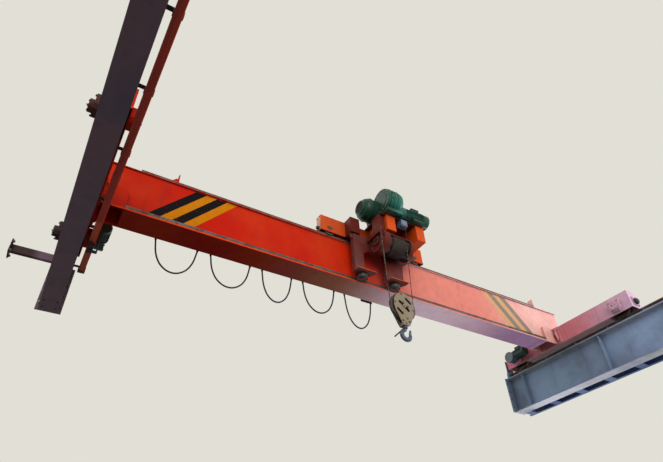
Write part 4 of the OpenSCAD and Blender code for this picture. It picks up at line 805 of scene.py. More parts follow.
class Shape:
    """Gathers the faces of one piece and puts it in the scene."""

    def __init__(self):
        self.mesh = bmesh.new()

    def faces(self, points, loops):
        corners = self.ring(points)
        for loop in loops:
            self.mesh.faces.new([corners[i] for i in loop])

    def ring(self, points):
        return [self.mesh.verts.new(p) for p in points]

    def join(self, rings, closed=False):
        """Faces from each ring to the next; a ring of one point closes an end."""
        for low, high in zip(rings, rings[1:] + rings[:1] if closed else rings[1:]):
            count = max(len(low), len(high))
            for k in range(count):
                j = (k + 1) % count
                corners = [low[k % len(low)], low[j % len(low)], high[j % len(high)], high[k % len(high)]]
                self.mesh.faces.new(list(dict.fromkeys(corners)))

    def prism(self, outline, along):
        """A flat outline drawn out along a vector."""
        n = len(outline)
        points = [Vector(p) for p in outline] + [Vector(p) + Vector(along) for p in outline]
        sides = [(i, (i + 1) % n, n + (i + 1) % n, n + i) for i in range(n)]
        self.faces(points, [tuple(range(n))[::-1], tuple(range(n, 2 * n)), *sides])

    def block(self, low, high):
        (x0, y0, z0), (x1, y1, z1) = low, high
        self.prism([(x0, y0, z0), (x1, y0, z0), (x1, y1, z0), (x0, y1, z0)], (0, 0, z1 - z0))

    def turned(self, profile, at, axis, sides=24, turn=0.0):
        """A profile of (radius, height) turned about an axis; a radius of 0 closes an end."""
        place = placed(at, axis)
        self.join([
            self.ring([p for p, a in circle(place, radius, sides if radius > 0 else 1, height, turn)])
            for radius, height in profile
        ])

    def swept(self, route, radius, sides=12, flat=1.0, across=Y):
        """A closed tube along a route; radius may be one number or one for each point."""
        radii = radius if isinstance(radius, list) else [radius] * len(route)
        rings = []
        for i, point in enumerate(route):
            ahead = (route[min(i + 1, len(route) - 1)] - route[max(i - 1, 0)]).normalized()
            side = across.cross(ahead).normalized()
            up = ahead.cross(side) * flat
            angles = [2 * math.pi * k / sides for k in range(sides)]
            rings.append(self.ring([point + (side * math.cos(a) + up * math.sin(a)) * radii[i] for a in angles]))
        self.join(rings)
        self.mesh.faces.new(rings[0][::-1])
        self.mesh.faces.new(rings[-1])

    def hoop(self, at, axis, radius, wire, sides=40):
        """A ring of round wire about an axis."""
        place = placed(at, axis)
        rings = []
        for k in range(sides):
            a = 2 * math.pi * k / sides
            out = Vector((math.cos(a), math.sin(a), 0))
            round_wire = [2 * math.pi * m / 8 for m in range(8)]
            points = [out * (radius + wire * math.cos(b)) + Z * (wire * math.sin(b)) for b in round_wire]
            rings.append(self.ring([place @ p for p in points]))
        self.join(rings, closed=True)

    def bolt(self, at, axis, across=None, stud=0.0, turn=0.3):
        """A hexagon head on its washer, on a face that looks along axis; stud is the screw's reach past a nut."""
        across = across or bpy.context.scene.crane_sizes.bolt
        r, rise, lift = across * 0.577, across * 0.66, across * 0.12
        washer = [(0, -0.0005), (r * 1.42, -0.0005), (r * 1.42, lift * 0.8), (r * 1.34, lift), (0, lift)]
        self.turned(washer, at, axis, 16)
        head = [(0, lift * 0.5), (r, lift * 0.5), (r, rise * 0.82), (r * 0.84, rise), (0, rise)]
        self.turned(head, at, axis, 6, turn)
        if stud:
            t, top = across * 0.31, rise + stud
            self.turned([(t, rise - 0.001), (t, top - 0.002), (t - 0.002, top), (0, top)], at, axis, 10)

    def bolts(self, xs, ys, zs, axis, across=None, stud=0.0):
        """Bolts at every crossing of some Xs, Ys and Zs."""
        for place in product(xs, ys, zs):
            self.bolt(place, axis, across, stud)

    def bolt_circle(self, at, axis, radius, count, across=None, turn=0.0, skip=None):
        """Bolts evenly round a circle on a face that looks along axis."""
        for place, a in circle(placed(at, axis), radius, count, turn=turn):
            if not (skip and skip(place)):
                self.bolt(place, axis, across, turn=a)

    def fins(self, at, axis, inner, outer, reach, count, thick=0.004, skip=()):
        """Cooling fins along an axis, round a motor's body."""
        place = placed(at, axis).to_3x3()
        for k, (out, a) in enumerate(circle(place, 1.0, count)):
            if k not in skip:
                side = place @ Vector((-math.sin(a), math.cos(a), 0)) * thick
                edges = ((inner, -0.7), (inner, 0.7), (outer, 0.4), (outer, -0.4))
                self.prism([Vector(at) + out * r + side * s for r, s in edges], axis * reach)

    def object(self, name, finish, bevel=0.0, crease=32):
        """Ends the piece: smooth faces, sharp edges, its finish and its small bevels."""
        bmesh.ops.recalc_face_normals(self.mesh, faces=self.mesh.faces)
        for face in self.mesh.faces:
            face.smooth = True
        for edge in self.mesh.edges:
            edge.smooth = len(edge.link_faces) == 2 and edge.calc_face_angle(0) < math.radians(crease)
        data = bpy.data.meshes.new(name)
        self.mesh.to_mesh(data)
        self.mesh.free()
        data.materials.append(material(finish))
        piece = bpy.data.objects.new(name, data)
        bpy.context.scene.collection.objects.link(piece)
        if bevel:
            soft = piece.modifiers.new("Bevel", "BEVEL")
            soft.width, soft.segments, soft.limit_method, soft.angle_limit = bevel, 2, "ANGLE", math.radians(40)
        return piece

    def on(self, body, name, finish, bevel=0.0, crease=32):
        """Ends the piece and makes it ride on a body of the frame."""
        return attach(self.object(name, finish, bevel, crease), body)


def smooth_line(points, steps):
    """A smooth curve through points, with that many steps between two of them."""
    points = [Vector(p) for p in points]
    last = len(points) - 1
    line = []
    for i in range(last):
        a, b, c, d = points[max(i - 1, 0)], points[i], points[i + 1], points[min(i + 2, last)]
        slope, bend, twist = c - a, 2 * a - 5 * b + 4 * c - d, 3 * b - a - 3 * c + d
        for t in [k / steps for k in range(steps)]:
            line.append(0.5 * (2 * b + slope * t + bend * t * t + twist * t ** 3))
    return line + [points[-1]]


def along(route):
    """The length of a route."""
    return sum((b - a).length for a, b in zip(route, route[1:]))


# Each rail's X with the direction from it to the middle of the span
TRUCKS = ((RAIL_X[0], 1), (RAIL_X[1], -1))


# Operators


class CRANE_OT_camera(bpy.types.Operator):
    """Puts the camera under the left runway, looking up along the girder"""

    bl_idname = "crane.camera"
    bl_label = "Camera"

    def execute(self, context):
        stage = context.scene.crane_stage
        data = bpy.data.cameras.new("camera")
        data.lens, data.sensor_width = stage.lens, 36
        data.clip_start, data.clip_end = 0.05, 200
        camera = bpy.data.objects.new("camera", data)
        camera.location, camera.rotation_euler = stage.camera_at, Euler(stage.camera_turn)
        context.scene.collection.objects.link(camera)
        context.scene.camera = camera
        return {"FINISHED"}


# The five cable loops: start, end and depth below the clamps, in metres
LOOPS = (
    (0.829, 1.334, 0.430),
    (1.504, 2.025, 0.420),
    (2.195, 2.619, 0.445),
    (2.789, 3.275, 0.430),
    (3.445, 3.885, 0.500),
)
LOOP_Y = 2.170
LOOP_TOP = 0.800
LOOP_EXIT = 0.020
LOOP_SHAPE = (
    (0, 0), (0.02, 0.2), (0.07, 0.5), (0.18, 0.78), (0.34, 0.95), (0.5, 1),
    (0.66, 0.95), (0.82, 0.78), (0.93, 0.5), (0.98, 0.2), (1, 0),
)


def loop_route(start, end, depth):
    """The line of a cable loop, out of one clamp and into the next."""
    top = LOOP_TOP - LOOP_EXIT
    hang = [(start + u * (end - start), LOOP_Y, top - v * (depth - LOOP_EXIT)) for u, v in LOOP_SHAPE]
    return [Vector((start, LOOP_Y, LOOP_TOP)), *smooth_line(hang, 3), Vector((end, LOOP_Y, LOOP_TOP))]


def blend_place(share):
    """Where along a blend its weight comes to that share."""
    return 0.5 - math.sin(math.asin(1 - 2 * share) / 3)


class CRANE_OT_cable_loops(bpy.types.Operator):
    """Hangs the five loops of the trolley's supply cable"""

    bl_idname = "crane.cable_loops"
    bl_label = "Cable loops"

    def execute(self, context):
        thick = context.scene.crane_sizes.cable_diameter
        for i, (start, end, depth) in enumerate(LOOPS):
            route = loop_route(start, end, depth)
            shape = Shape()
            shape.swept(route, thick / 2, 14)
            cable = shape.object(f"cable_loop_{i + 1}", "cable_rubber", crease=60)
            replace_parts(cable, f"loop_{i + 1}")
            along(route)
            low, high = blend_place(i / len(LOOPS)), blend_place((i + 1) / len(LOOPS))
            reach = (end - start) / (high - low)
            first = start - low * reach
            for piece in (cable, self.sleeves(i + 1, (start, end))):
                first + reach
                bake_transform(piece)
        return {"FINISHED"}

    def sleeves(self, number, places):
        """Rubber sleeves where a loop enters its two clamps."""
        profile = [(0.0102, -0.046), (0.0125, -0.044), (0.0145, -0.016), (0.0175, -0.012), (0.0175, 0.0), (0, 0.0)]
        shape = Shape()
        for x in places:
            shape.turned(profile, (x, LOOP_Y, LOOP_TOP), Z, 16)
        return shape.object(f"cable_sleeves_{number}", "rubber")


class CRANE_OT_hoist_ropes(bpy.types.Operator):
    """Lays up the two falls of wire rope between the drum, the hook block and the anchor"""

    bl_idname = "crane.hoist_ropes"
    bl_label = "Hoist ropes"

    def execute(self, context):
        groove, slant = 0.177, 0.070
        x, y, z = sheave_at
        falls = (
            ("rope_to_anchor", Vector((x - groove, y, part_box("rope_anchor")[0].z)), Vector((x - groove, y, z))),
            ("rope_to_drum", Vector((x + groove + slant, y, drum_at.z)), Vector((x + groove, y, z))),
        )
        for name, top, foot in falls:
            rope = self.laid_up(top, foot, context.scene.crane_sizes).object(name, "rope_steel", crease=70)
            if name == "rope_to_anchor":
                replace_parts(rope, "hoist_ropes")
            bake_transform(rope)
        return {"FINISHED"}

    def laid_up(self, top, foot, sizes):
        """Strands twisted about a core, from top to foot."""
        shape = Shape()
        down = foot - top
        side = down.cross(Y).normalized()
        back = down.cross(side).normalized()
        steps = max(24, int(down.length / sizes.strand_pitch * 10))
        strand = sizes.rope_diameter / 6.2
        reach = sizes.rope_diameter / 2 - strand
        for s in range(sizes.strands):
            route = []
            for i in range(steps + 1):
                a = 2 * math.pi * (s / sizes.strands + i / 10)
                route.append(top + down * (i / steps) + (side * math.cos(a) + back * math.sin(a)) * reach)
            shape.swept(route, strand, 6)
        shape.swept([top + down * (i / 12) for i in range(13)], reach * 0.9, 8)
        return shape


class CRANE_OT_finishes(bpy.types.Operator):
    """Gives each node of the frame its finish"""

    bl_idname = "crane.finishes"
    bl_label = "Finishes"

    def execute(self, context):
        bare = set(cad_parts)
        for finish, nodes in NODE_FINISH.items():
            for name in nodes.split():
                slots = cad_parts[name].data.materials
                slots.clear()
                slots.append(material(finish))
                bare.discard(name)
        if bare:
            raise RuntimeError(f"no finish for {sorted(bare)}")
        return {"FINISHED"}


class CRANE_OT_runway_fittings(bpy.types.Operator):
    """Adds the rail clips, anchor nuts, end bolts and the conductor bar's caps"""

    bl_idname = "crane.runway_fittings"
    bl_label = "Runway fittings"

    def execute(self, context):
        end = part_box("runway_beam_left")[1].y
        self.rail_clips(end, context.scene.crane_sizes.clip_pitch)
        self.end_bolts(end)
        self.conductor_bar()
        return {"FINISHED"}

    def rail_clips(self, end, pitch):
        """A clip with its bolt on each side of the rails, at every pitch."""
        clips, bolts = Shape(), Shape()
        outline = [
            (0.0405, 0), (0.086, 0), (0.086, 0.014), (0.050, 0.020),
            (0.028, 0.017), (0.028, 0.0125), (0.0405, 0.0085),
        ]
        count = int((2 * end - 0.5) / pitch)
        for rail, side, k in product(RAIL_X, BOTH, range(count + 1)):
            y = (k - count / 2) * pitch
            clips.prism([(rail + side * u, y - 0.025, BEAM_TOP + v) for u, v in outline], (0, 0.05, 0))
            bolts.bolt((rail + side * 0.070, y, BEAM_TOP + 0.0165), Z, 0.022, stud=0.008)
        clips.on("runway", "rail_clips", "rail_steel", bevel=0.002)
        bolts.on("runway", "rail_clip_bolts", "fastener_zinc")

    def end_bolts(self, end):
        """Bolts of the beams' end plates, the anchor nuts, and the bolts of the end stops and the tie."""
        shape = Shape()
        for rail, way, side in product(RAIL_X, BOTH, BOTH):
            shape.bolts([rail + side * 0.117], [way * (end - 0.020)], (0.09, 0.23, 0.37, 0.51), -way * Y)
            anchors = [way * (end - 0.18) + step for step in (-0.08, 0.08)]
            shape.bolts([rail + side * 0.065], anchors, [0.017], Z, 0.03, stud=0.022)
            shape.bolt((rail + side * 0.064, way * (end - 0.022), BEAM_TOP + 0.015), Z, 0.02)
        x, (_, y, z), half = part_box("wall_tie")[0].x + 0.012, centre("wall_tie"), 0.05175
        shape.bolts([x], (y - half, y + half), (z - half, z + half), X)
        shape.on("runway", "runway_bolts", "fastener_zinc")

    def conductor_bar(self):
        """The bar's closed slots, its end caps and joints, and the screws of its hangers."""
        low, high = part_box("conductor_bar")
        hanger_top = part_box("conductor_hangers")[1].z
        x, _, z = centre("conductor_bar")
        caps, sleeves, screws, seals = Shape(), Shape(), Shape(), Shape()
        slot, half = (high.x - low.x) / 4, 0.0074
        for side in BOTH:
            at = x + side * slot
            seals.block((at - half, low.y + 0.002, low.z + 0.0006), (at + half, high.y - 0.002, low.z + 0.004))
        seals.on("runway", "conductor_seals", "conductor_cover")
        for y0, y1 in ((low.y, low.y + 0.055), (high.y - 0.045, high.y + 0.012)):
            caps.block((low.x - 0.004, y0, low.z - 0.004), (high.x + 0.004, y1, high.z + 0.0035))
        proud = 0.0025
        for y in (-1.9, 1.12):
            sleeves.block((low.x - proud, y - 0.07, low.z - proud), (high.x + proud, y + 0.07, high.z + proud))
            for face, way in ((low.x - proud, -X), (high.x + proud, X)):
                screws.bolts([face], (y - 0.045, y + 0.045), [z], way, 0.010)
        for y in [k * 0.75 for k in range(-3, 4)] + [high.y - 0.03]:
            screws.bolts([0.0115], [y], (hanger_top - 0.04, hanger_top - 0.08), X, 0.016)
            screws.bolt((x, y, hanger_top), Z, 0.016, stud=0.006)
        caps.on("runway", "conductor_end_caps", "black_plastic", bevel=0.004)
        sleeves.on("runway", "conductor_joints", "conductor_cover", bevel=0.002)
        screws.on("runway", "conductor_screws", "fastener_zinc")


class CRANE_OT_girder_fittings(bpy.types.Operator):
    """Paints the girder's stripes and adds its welds and bolts"""

    bl_idname = "crane.girder_fittings"
    bl_label = "Girder stripes and fittings"

    def execute(self, context):
        self.stripes(context.scene.crane_sizes)
        self.welds()
        self.bolts()
        return {"FINISHED"}

    def stripes(self, sizes):
        """Slanting bands near both ends of the near web, as the paint's own thickness."""
        thick, wide = 0.0006, sizes.stripe_width
        z0, z1 = max(web_low.z, flange_high.z), top_low.z
        lean = sizes.stripe_lean * (z1 - z0)
        bands = {"dark": Shape(), "amber": Shape()}
        for k, mirrored in product(range(sizes.stripe_count), (False, True)):
            start = sizes.stripe_start + k * wide
            corners = [(start, z0), (start + wide, z0), (start + wide + lean, z1), (start + lean, z1)]
            outline = [(RAIL_X[1] - x if mirrored else x, web_low.y - thick, z) for x, z in corners]
            bands["amber" if k % 2 else "dark"].prism(outline, (0, thick, 0))
        for shade, shape in bands.items():
            shape.on("bridge", f"{shade}_stripes", f"{shade}_stripe")

    def welds(self):
        """Fillet welds between the webs and the flanges, and short ones along the trolley's rail."""
        shape = Shape()
        leg, inset, pitch = 0.007, 0.002, 0.3
        run = flange_high.x - flange_low.x - 2 * inset
        for y, side in ((web_low.y, -1), (web_high.y, 1)):
            for z, up in ((flange_high.z, 1), (top_low.z, -1)):
                outline = fillet((flange_low.x + inset, y, z), side * leg * Y, up * leg * Z)
                shape.prism(outline, (run, 0, 0))
        low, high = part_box("top_rail")
        for k in range(int((high.x - low.x) / pitch)):
            for y, side in ((low.y, -1), (high.y, 1)):
                corner = Vector((low.x + 0.1 + k * pitch, y, low.z))
                shape.prism([corner, corner + side * leg * Y, corner + leg * Z], (0.07, 0, 0))
        shape.on("bridge", "girder_welds", "weld_bead", crease=80)

    def bolts(self):
        """Bolts of the brackets and seats that join the girder to the trucks, and of the cable track."""
        shape = Shape()
        for rail, inward in TRUCKS:
            for y, way in ((flange_low.y, -1), (flange_high.y, 1)):
                shape.bolts([rail + inward * 0.165], [y], (0.780, 0.877, 0.965), way * Y)
                shape.bolts([rail + inward * 0.139], (y + way * 0.035, y + way * 0.078), (0.775, 0.945), inward * X)
                shape.bolts((rail - 0.09, rail, rail + 0.09), [y - way * 0.019], [1.016], Z)
        low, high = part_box("festoon_track")
        inset, count = 0.06, 9
        for k in range(count):
            x = low.x + inset + k * (high.x - low.x - 2 * inset) / (count - 1)
            shape.bolt((x, web_high.y + 0.008, high.z - 0.025), Y, 0.018)
        shape.on("bridge", "girder_bolts", "painted_fastener")


class CRANE_OT_truck_fittings(bpy.types.Operator):
    """Adds the bolts of the axle boxes and buffers and the detail of the travel drives"""

    bl_idname = "crane.truck_fittings"
    bl_label = "Truck fittings"

    def execute(self, context):
        bolts, cowls, fins = Shape(), Shape(), Shape()
        for rail, inward in TRUCKS:
            for y, way in product(WHEEL_Y, BOTH):
                driven = way > 0 and y == WHEEL_Y[1]
                self.axle_box(bolts, cowls, rail, inward * way, y, driven)
            for y, out in ((truck_low.y - PLATE, -Y), (truck_high.y + PLATE, Y)):
                bolts.bolts((rail - 0.055, rail + 0.055), [y], (AXLE_Z - 0.055, AXLE_Z + 0.055), out, 0.014)
            self.drive(rail, inward, bolts, cowls, fins)
        bolts.on("bridge", "truck_bolts", "painted_fastener")
        cowls.on("bridge", "drive_cowls", "motor_green", bevel=0.0015)
        fins.on("bridge", "drive_fins", "motor_green")
        return {"FINISHED"}

    def axle_box(self, bolts, cowls, rail, way, y, driven):
        """The bolts of an axle box; one that isn't driven has a cover with a grease nipple."""
        out, box = way * X, rail + way * (truck_high.x + BOX_REACH)
        bolts.bolts([box], (y - 0.074, y + 0.074), [AXLE_Z + 0.072], out, 0.02)
        if not driven:
            bolts.bolts([box], (y - 0.05328, y + 0.05328), [AXLE_Z - 0.068], out, 0.016)
            face = (rail + way * (truck_high.x + COVER_REACH), y, AXLE_Z)
            bolts.bolt_circle(face, out, 0.050, 6, 0.013)
            cowls.turned([(0.010, 0.0), (0.010, 0.010), (0.006, 0.014), (0.006, 0.020), (0, 0.022)], face, out, 12)

    def drive(self, rail, inward, bolts, cowls, fins):
        """Fins, fan cowl and terminal box of one travel drive."""
        x = rail + inward * (truck_high.x + COVER_REACH + 0.055)
        end = WHEEL_Y[1] - 0.095
        bolts.bolt_circle((rail + inward * (truck_high.x + 0.210), WHEEL_Y[1], AXLE_Z), inward * X, 0.076, 8, 0.013)
        fins.fins((x, end - 0.205, AXLE_Z), Y, 0.070, 0.082, 0.180, 22)
        cowl = [(0.066, 0.0), (0.080, 0.004), (0.080, 0.050), (0.070, 0.058), (0.030, 0.060), (0, 0.058)]
        cowls.turned(cowl, (x, end - 0.188, AXLE_Z), -Y, 32)
        cowls.block((x - 0.035, end - 0.150, AXLE_Z + 0.070), (x + 0.035, end - 0.050, AXLE_Z + 0.112))
        cowls.block((x - 0.038, end - 0.154, AXLE_Z + 0.108), (x + 0.038, end - 0.046, AXLE_Z + 0.116))


class CRANE_OT_trolley_fittings(bpy.types.Operator):
    """Adds the bolts, cleats, keepers and doors of the trolley"""

    bl_idname = "crane.trolley_fittings"
    bl_label = "Trolley fittings"

    def execute(self, context):
        bolts = Shape()
        self.panel_cleats(bolts)
        self.drum_ends(bolts)
        self.axle_keepers(bolts)
        self.carriage_ends(bolts)
        self.crossbeam_welds()
        bolts.on("trolley", "trolley_bolts", "fastener_zinc")
        self.terminal_box()
        return {"FINISHED"}

    def panel_cleats(self, bolts):
        """The cleats that hang the panel from the crossbeams, and the platform's bolts."""
        low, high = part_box("motor_platform")
        back, face, top, half, thick = 1.640, 1.652, cross_high.z - 0.260, 0.07, 0.012
        plates = Shape()
        outline = [
            (back, top), (back, top - 0.08), (face, top - 0.08),
            (face, top - thick), (1.720, top - thick), (1.720, top),
        ]
        for x in CROSSBEAM_X:
            pair = (x - 0.045, x + 0.045)
            if x > low.x:
                bolts.bolts(pair, (low.y + 0.05, low.y + 0.34, high.y - 0.05), [low.z + 0.012], Z, 0.02)
            bolts.bolts(pair, [face], [top - 0.04], Y, 0.02)
            plates.prism([(x - half, y, z) for y, z in outline], (2 * half, 0, 0))
        plates.on("trolley", "panel_cleats", "trolley_paint", bevel=0.002)

    def drum_ends(self, bolts):
        """Bolts round both ends of the drum's cover and its bearings."""
        low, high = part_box("drum_cover")
        for x, way in ((low.x, -1), (high.x, 1)):
            bolts.bolt_circle((x - way * 0.018, drum_at.y, drum_at.z), way * X, 0.142, 10, 0.014, turn=0.3)
            bolts.bolt_circle((x, drum_at.y, drum_at.z), way * X, 0.048, 4, 0.012, turn=0.78)

    def carriage_ends(self, bolts):
        """A bolted cap with a rubber bumper at each end of the carriage."""
        caps, bumpers = Shape(), Shape()
        low, high, y, thick = cross_low.z, cross_high.z, cross_high.y - 0.054, 0.006
        profile = [(0.030, 0.0), (0.030, 0.006), (0.026, 0.010), (0.024, 0.030), (0.018, 0.036), (0, 0.037)]
        for x, way in ((cross_low.x, -1), (cross_high.x, 1)):
            face = x + way * thick
            x0, x1 = sorted((x, face))
            caps.block((x0, y - 0.048, low + 0.012), (x1, y + 0.048, high - 0.012))
            bolts.bolts([face], (y - 0.034, y + 0.034), (low + 0.028, high - 0.028), way * X, 0.013)
            bumpers.turned(profile, (face, y, low + 0.045), way * X, 28)
        caps.on("trolley", "carriage_caps", "crossbeam_paint", bevel=0.0015)
        bumpers.on("trolley", "carriage_bumpers", "rubber")

    def crossbeam_welds(self):
        """Fillet welds where the crossbeams meet the carriage."""
        shape = Shape()
        leg, low = 0.008, cross_low.z
        for x in CROSSBEAM_X:
            for way in BOTH:
                outline = fillet((x + way * CROSSBEAM_HALF, CARRIAGE_FACE, low), way * leg * X, -leg * Y, 0.6)
                shape.prism(outline, (0, 0, cross_high.z - low))
            outline = fillet((x - CROSSBEAM_HALF, CARRIAGE_FACE, low), -leg * Y, -leg * Z, 0.6)
            shape.prism(outline, (2 * CROSSBEAM_HALF, 0, 0))
        shape.on("trolley", "crossbeam_welds", "crossbeam_paint", crease=80)

    def axle_keepers(self, bolts):
        """Keeper plates that stop the trolley wheels' axles from turning."""
        shape = Shape()
        for name in ("trolley_wheel_left", "trolley_wheel_right"):
            (_, near, _), (_, far, _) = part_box(name)
            x, _, z = centre(name)
            for y, way in ((near + 0.006, -1), (far - 0.006, 1)):
                face = y + way * 0.006
                y0, y1 = sorted((y, face))
                shape.block((x - 0.04, y0, z + 0.016), (x + 0.04, y1, z + 0.042))
                bolts.bolts((x - 0.028, x + 0.028), [face], [z + 0.030], way * Y, 0.012)
        shape.on("trolley", "axle_keepers", "turned_steel", bevel=0.001)

    def terminal_box(self):
        """The box's door, its hinges, screws and cable glands."""
        low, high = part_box("terminal_box")
        door, glands, screws = Shape(), Shape(), Shape()
        rim, face = 0.004, low.y - 0.004
        door.block((low.x + rim, face, low.z + rim), (high.x - rim, low.y + 0.001, high.z - rim))
        hinge = [(0, -0.014), (0.004, -0.014), (0.004, 0.014), (0, 0.014)]
        for z in (low.z + 0.035, high.z - 0.035):
            door.turned(hinge, (low.x + 0.002, low.y - 0.003, z), Z, 10)
        screws.bolts((low.x + 0.016, high.x - 0.016), [face], (low.z + 0.016, high.z - 0.016), -Y, 0.007)
        for k in range(3):
            at = (low.x + 0.03 + k * 0.035, low.y + 0.04, low.z)
            glands.turned([(0.013, 0.0), (0.013, 0.012)], at, -Z, 6)
            glands.turned([(0.0145, 0.010), (0.0145, 0.018), (0.009, 0.028), (0, 0.028)], at, -Z, 16)
        door.on("trolley", "terminal_box_door", "box_grey", bevel=0.0015)
        screws.on("trolley", "terminal_box_screws", "fastener_zinc")
        glands.on("trolley", "terminal_box_glands", "black_plastic")


class CRANE_OT_motor_fittings(bpy.types.Operator):
    """Adds the fan guards, fins, bolts, plugs and boxes of the hoist's machinery"""

    bl_idname = "crane.motor_fittings"
    bl_label = "Motor fittings"

    def execute(self, context):
        castings, fins, bolts, guards, shade_discs = (Shape() for _ in range(5))
        self.hoist_motor(castings, bolts, guards, shade_discs)
        self.gearbox(castings, bolts)
        self.travel_motor(castings, fins, bolts, guards, shade_discs)
        castings.on("trolley", "motor_castings", "motor_green", bevel=0.0015)
        fins.on("trolley", "motor_fins", "motor_green")
        bolts.on("trolley", "motor_bolts", "fastener_zinc")
        guards.on("trolley", "fan_guards", "black_plastic", crease=80)
        shade_discs.on("trolley", "fan_shade_discs", "dark_opening")
        return {"FINISHED"}

    def guard(self, guards, at, axis, radius, spokes):
        """A fan guard: four rings of wire on spokes."""
        at, wire, rings = Vector(at), 0.0022, 4
        for k in range(rings):
            guards.hoop(at, axis, radius * (k + 1) / rings, wire)
        for rim, _ in circle(placed(at, axis), radius, spokes):
            arm = rim - at
            guards.swept([at + arm.normalized() * 0.01, at + arm * 0.5, rim], wire, 6, across=axis)

    def hoist_motor(self, castings, bolts, guards, shade_discs):
        """The fan's rim and guard, the joint's flange, the terminal box and the lifting eye."""
        y, z = MOTOR_PARTS["hoist"]
        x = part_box("hoist_motor")[0].x
        face = (x, y, z)
        rim = [(0.094, 0.001), (0.094, 0.006), (0.099, 0.010), (0.107, 0.010), (0.112, 0.004), (0.112, -0.008)]
        castings.turned(rim, face, -X, 48)
        # A dark disc as painted shade inside the fan, behind its guard
        shade_discs.turned([(0.094, 0.0012), (0.05, 0.0014), (0, 0.0014)], face, -X, 40)
        self.guard(guards, (x - 0.005, y, z), -X, 0.092, 8)
        flange = [
            (0.172, -0.007), (0.1795, -0.007), (0.1815, -0.004), (0.1815, 0.005), (0.1795, 0.007), (0.166, 0.009)
        ]
        castings.turned(flange, (x + 0.112, y, z), -X, 72)
        bolts.bolt_circle((x + 0.1045, y, z), -X, 0.1735, 10, 0.010)
        castings.block((x + 0.105, y + 0.020, z + 0.120), (x + 0.185, y + 0.130, z + 0.215))
        castings.block((x + 0.100, y + 0.015, z + 0.211), (x + 0.190, y + 0.135, z + 0.221))
        castings.turned([(0.016, 0.0), (0.016, 0.020), (0.010, 0.024)], (x + 0.145, y - 0.02, z + 0.168), Z, 16)
        castings.hoop((x + 0.145, y - 0.02, z + 0.206), Y, 0.018, 0.005, 24)

    def gearbox(self, castings, bolts):
        """The joint's flange, the bearing cover, the breather and the two plugs."""
        y, z = MOTOR_PARTS["gearbox"]
        low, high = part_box("hoist_gearbox")
        x = low.x + 0.020

        def behind_motor(p):
            return (p - Vector((p.x, *MOTOR_PARTS["hoist"]))).length < 0.2

        flange = [(0.190, -0.004), (0.2005, -0.004), (0.2005, 0.004), (0.190, 0.004)]
        castings.turned(flange, (x + 0.004, y, z), -X, 64)
        bolts.bolt_circle((x - 0.001, y, z), -X, 0.178, 14, 0.014, skip=behind_motor)
        castings.turned([(0.150, 0.0), (0.140, 0.008), (0.060, 0.010), (0, 0.010)], (x, y, z), -X, 48)
        bolts.bolt_circle((x - 0.006, y, z), -X, 0.128, 8, 0.012, skip=behind_motor)
        breather = [(0.0155, -0.032), (0.024, -0.025), (0.026, -0.014), (0.019, -0.004), (0.0155, -0.004)]
        castings.turned(breather, (low.x + 0.13, y, high.z), Z, 20)
        plug = [(0.018, 0.0), (0.018, 0.010), (0.012, 0.013), (0, 0.013)]
        for dy, dz in ((-0.200, -0.04), (-0.196, 0.055)):
            castings.turned(plug, (low.x + 0.10, y + dy, z + dz), (0, -1, dz * 4), 8)

    def travel_motor(self, castings, fins, bolts, guards, shade_discs):
        """The fins of both stages, the fan cowl and guard, the terminal box and the bolts."""
        y, z = MOTOR_PARTS["travel"]
        low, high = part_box("trolley_motor")
        x = low.x
        fins.fins((x + 0.030, y, z), X, 0.096, 0.108, 0.098, 30)
        fins.fins((x + 0.135, y, z), X, 0.106, 0.117, 0.205, 34, skip=(7, 8, 9, 10))
        cowl = [(0.106, 0.0), (0.114, 0.006), (0.114, 0.085), (0.104, 0.098), (0.088, 0.1005)]
        castings.turned(cowl, (x + 0.350, y, z), X, 48)
        # A dark disc as painted shade inside the fan, behind its guard
        shade_discs.turned([(0.086, 0.0006), (0, 0.0006)], (high.x, y, z), X, 40)
        self.guard(guards, (high.x + 0.003, y, z), X, 0.084, 6)
        castings.block((x + 0.170, y - 0.055, z + 0.100), (x + 0.300, y + 0.055, z + 0.150))
        castings.block((x + 0.165, y - 0.060, z + 0.146), (x + 0.305, y + 0.060, z + 0.157))
        bolts.bolt_circle((x + 0.016, y, z), X, 0.104, 8, 0.010)
        bolts.bolts((x + 0.17, x + 0.33), (y - 0.082, y + 0.082), [z - 0.080], Z, 0.012)


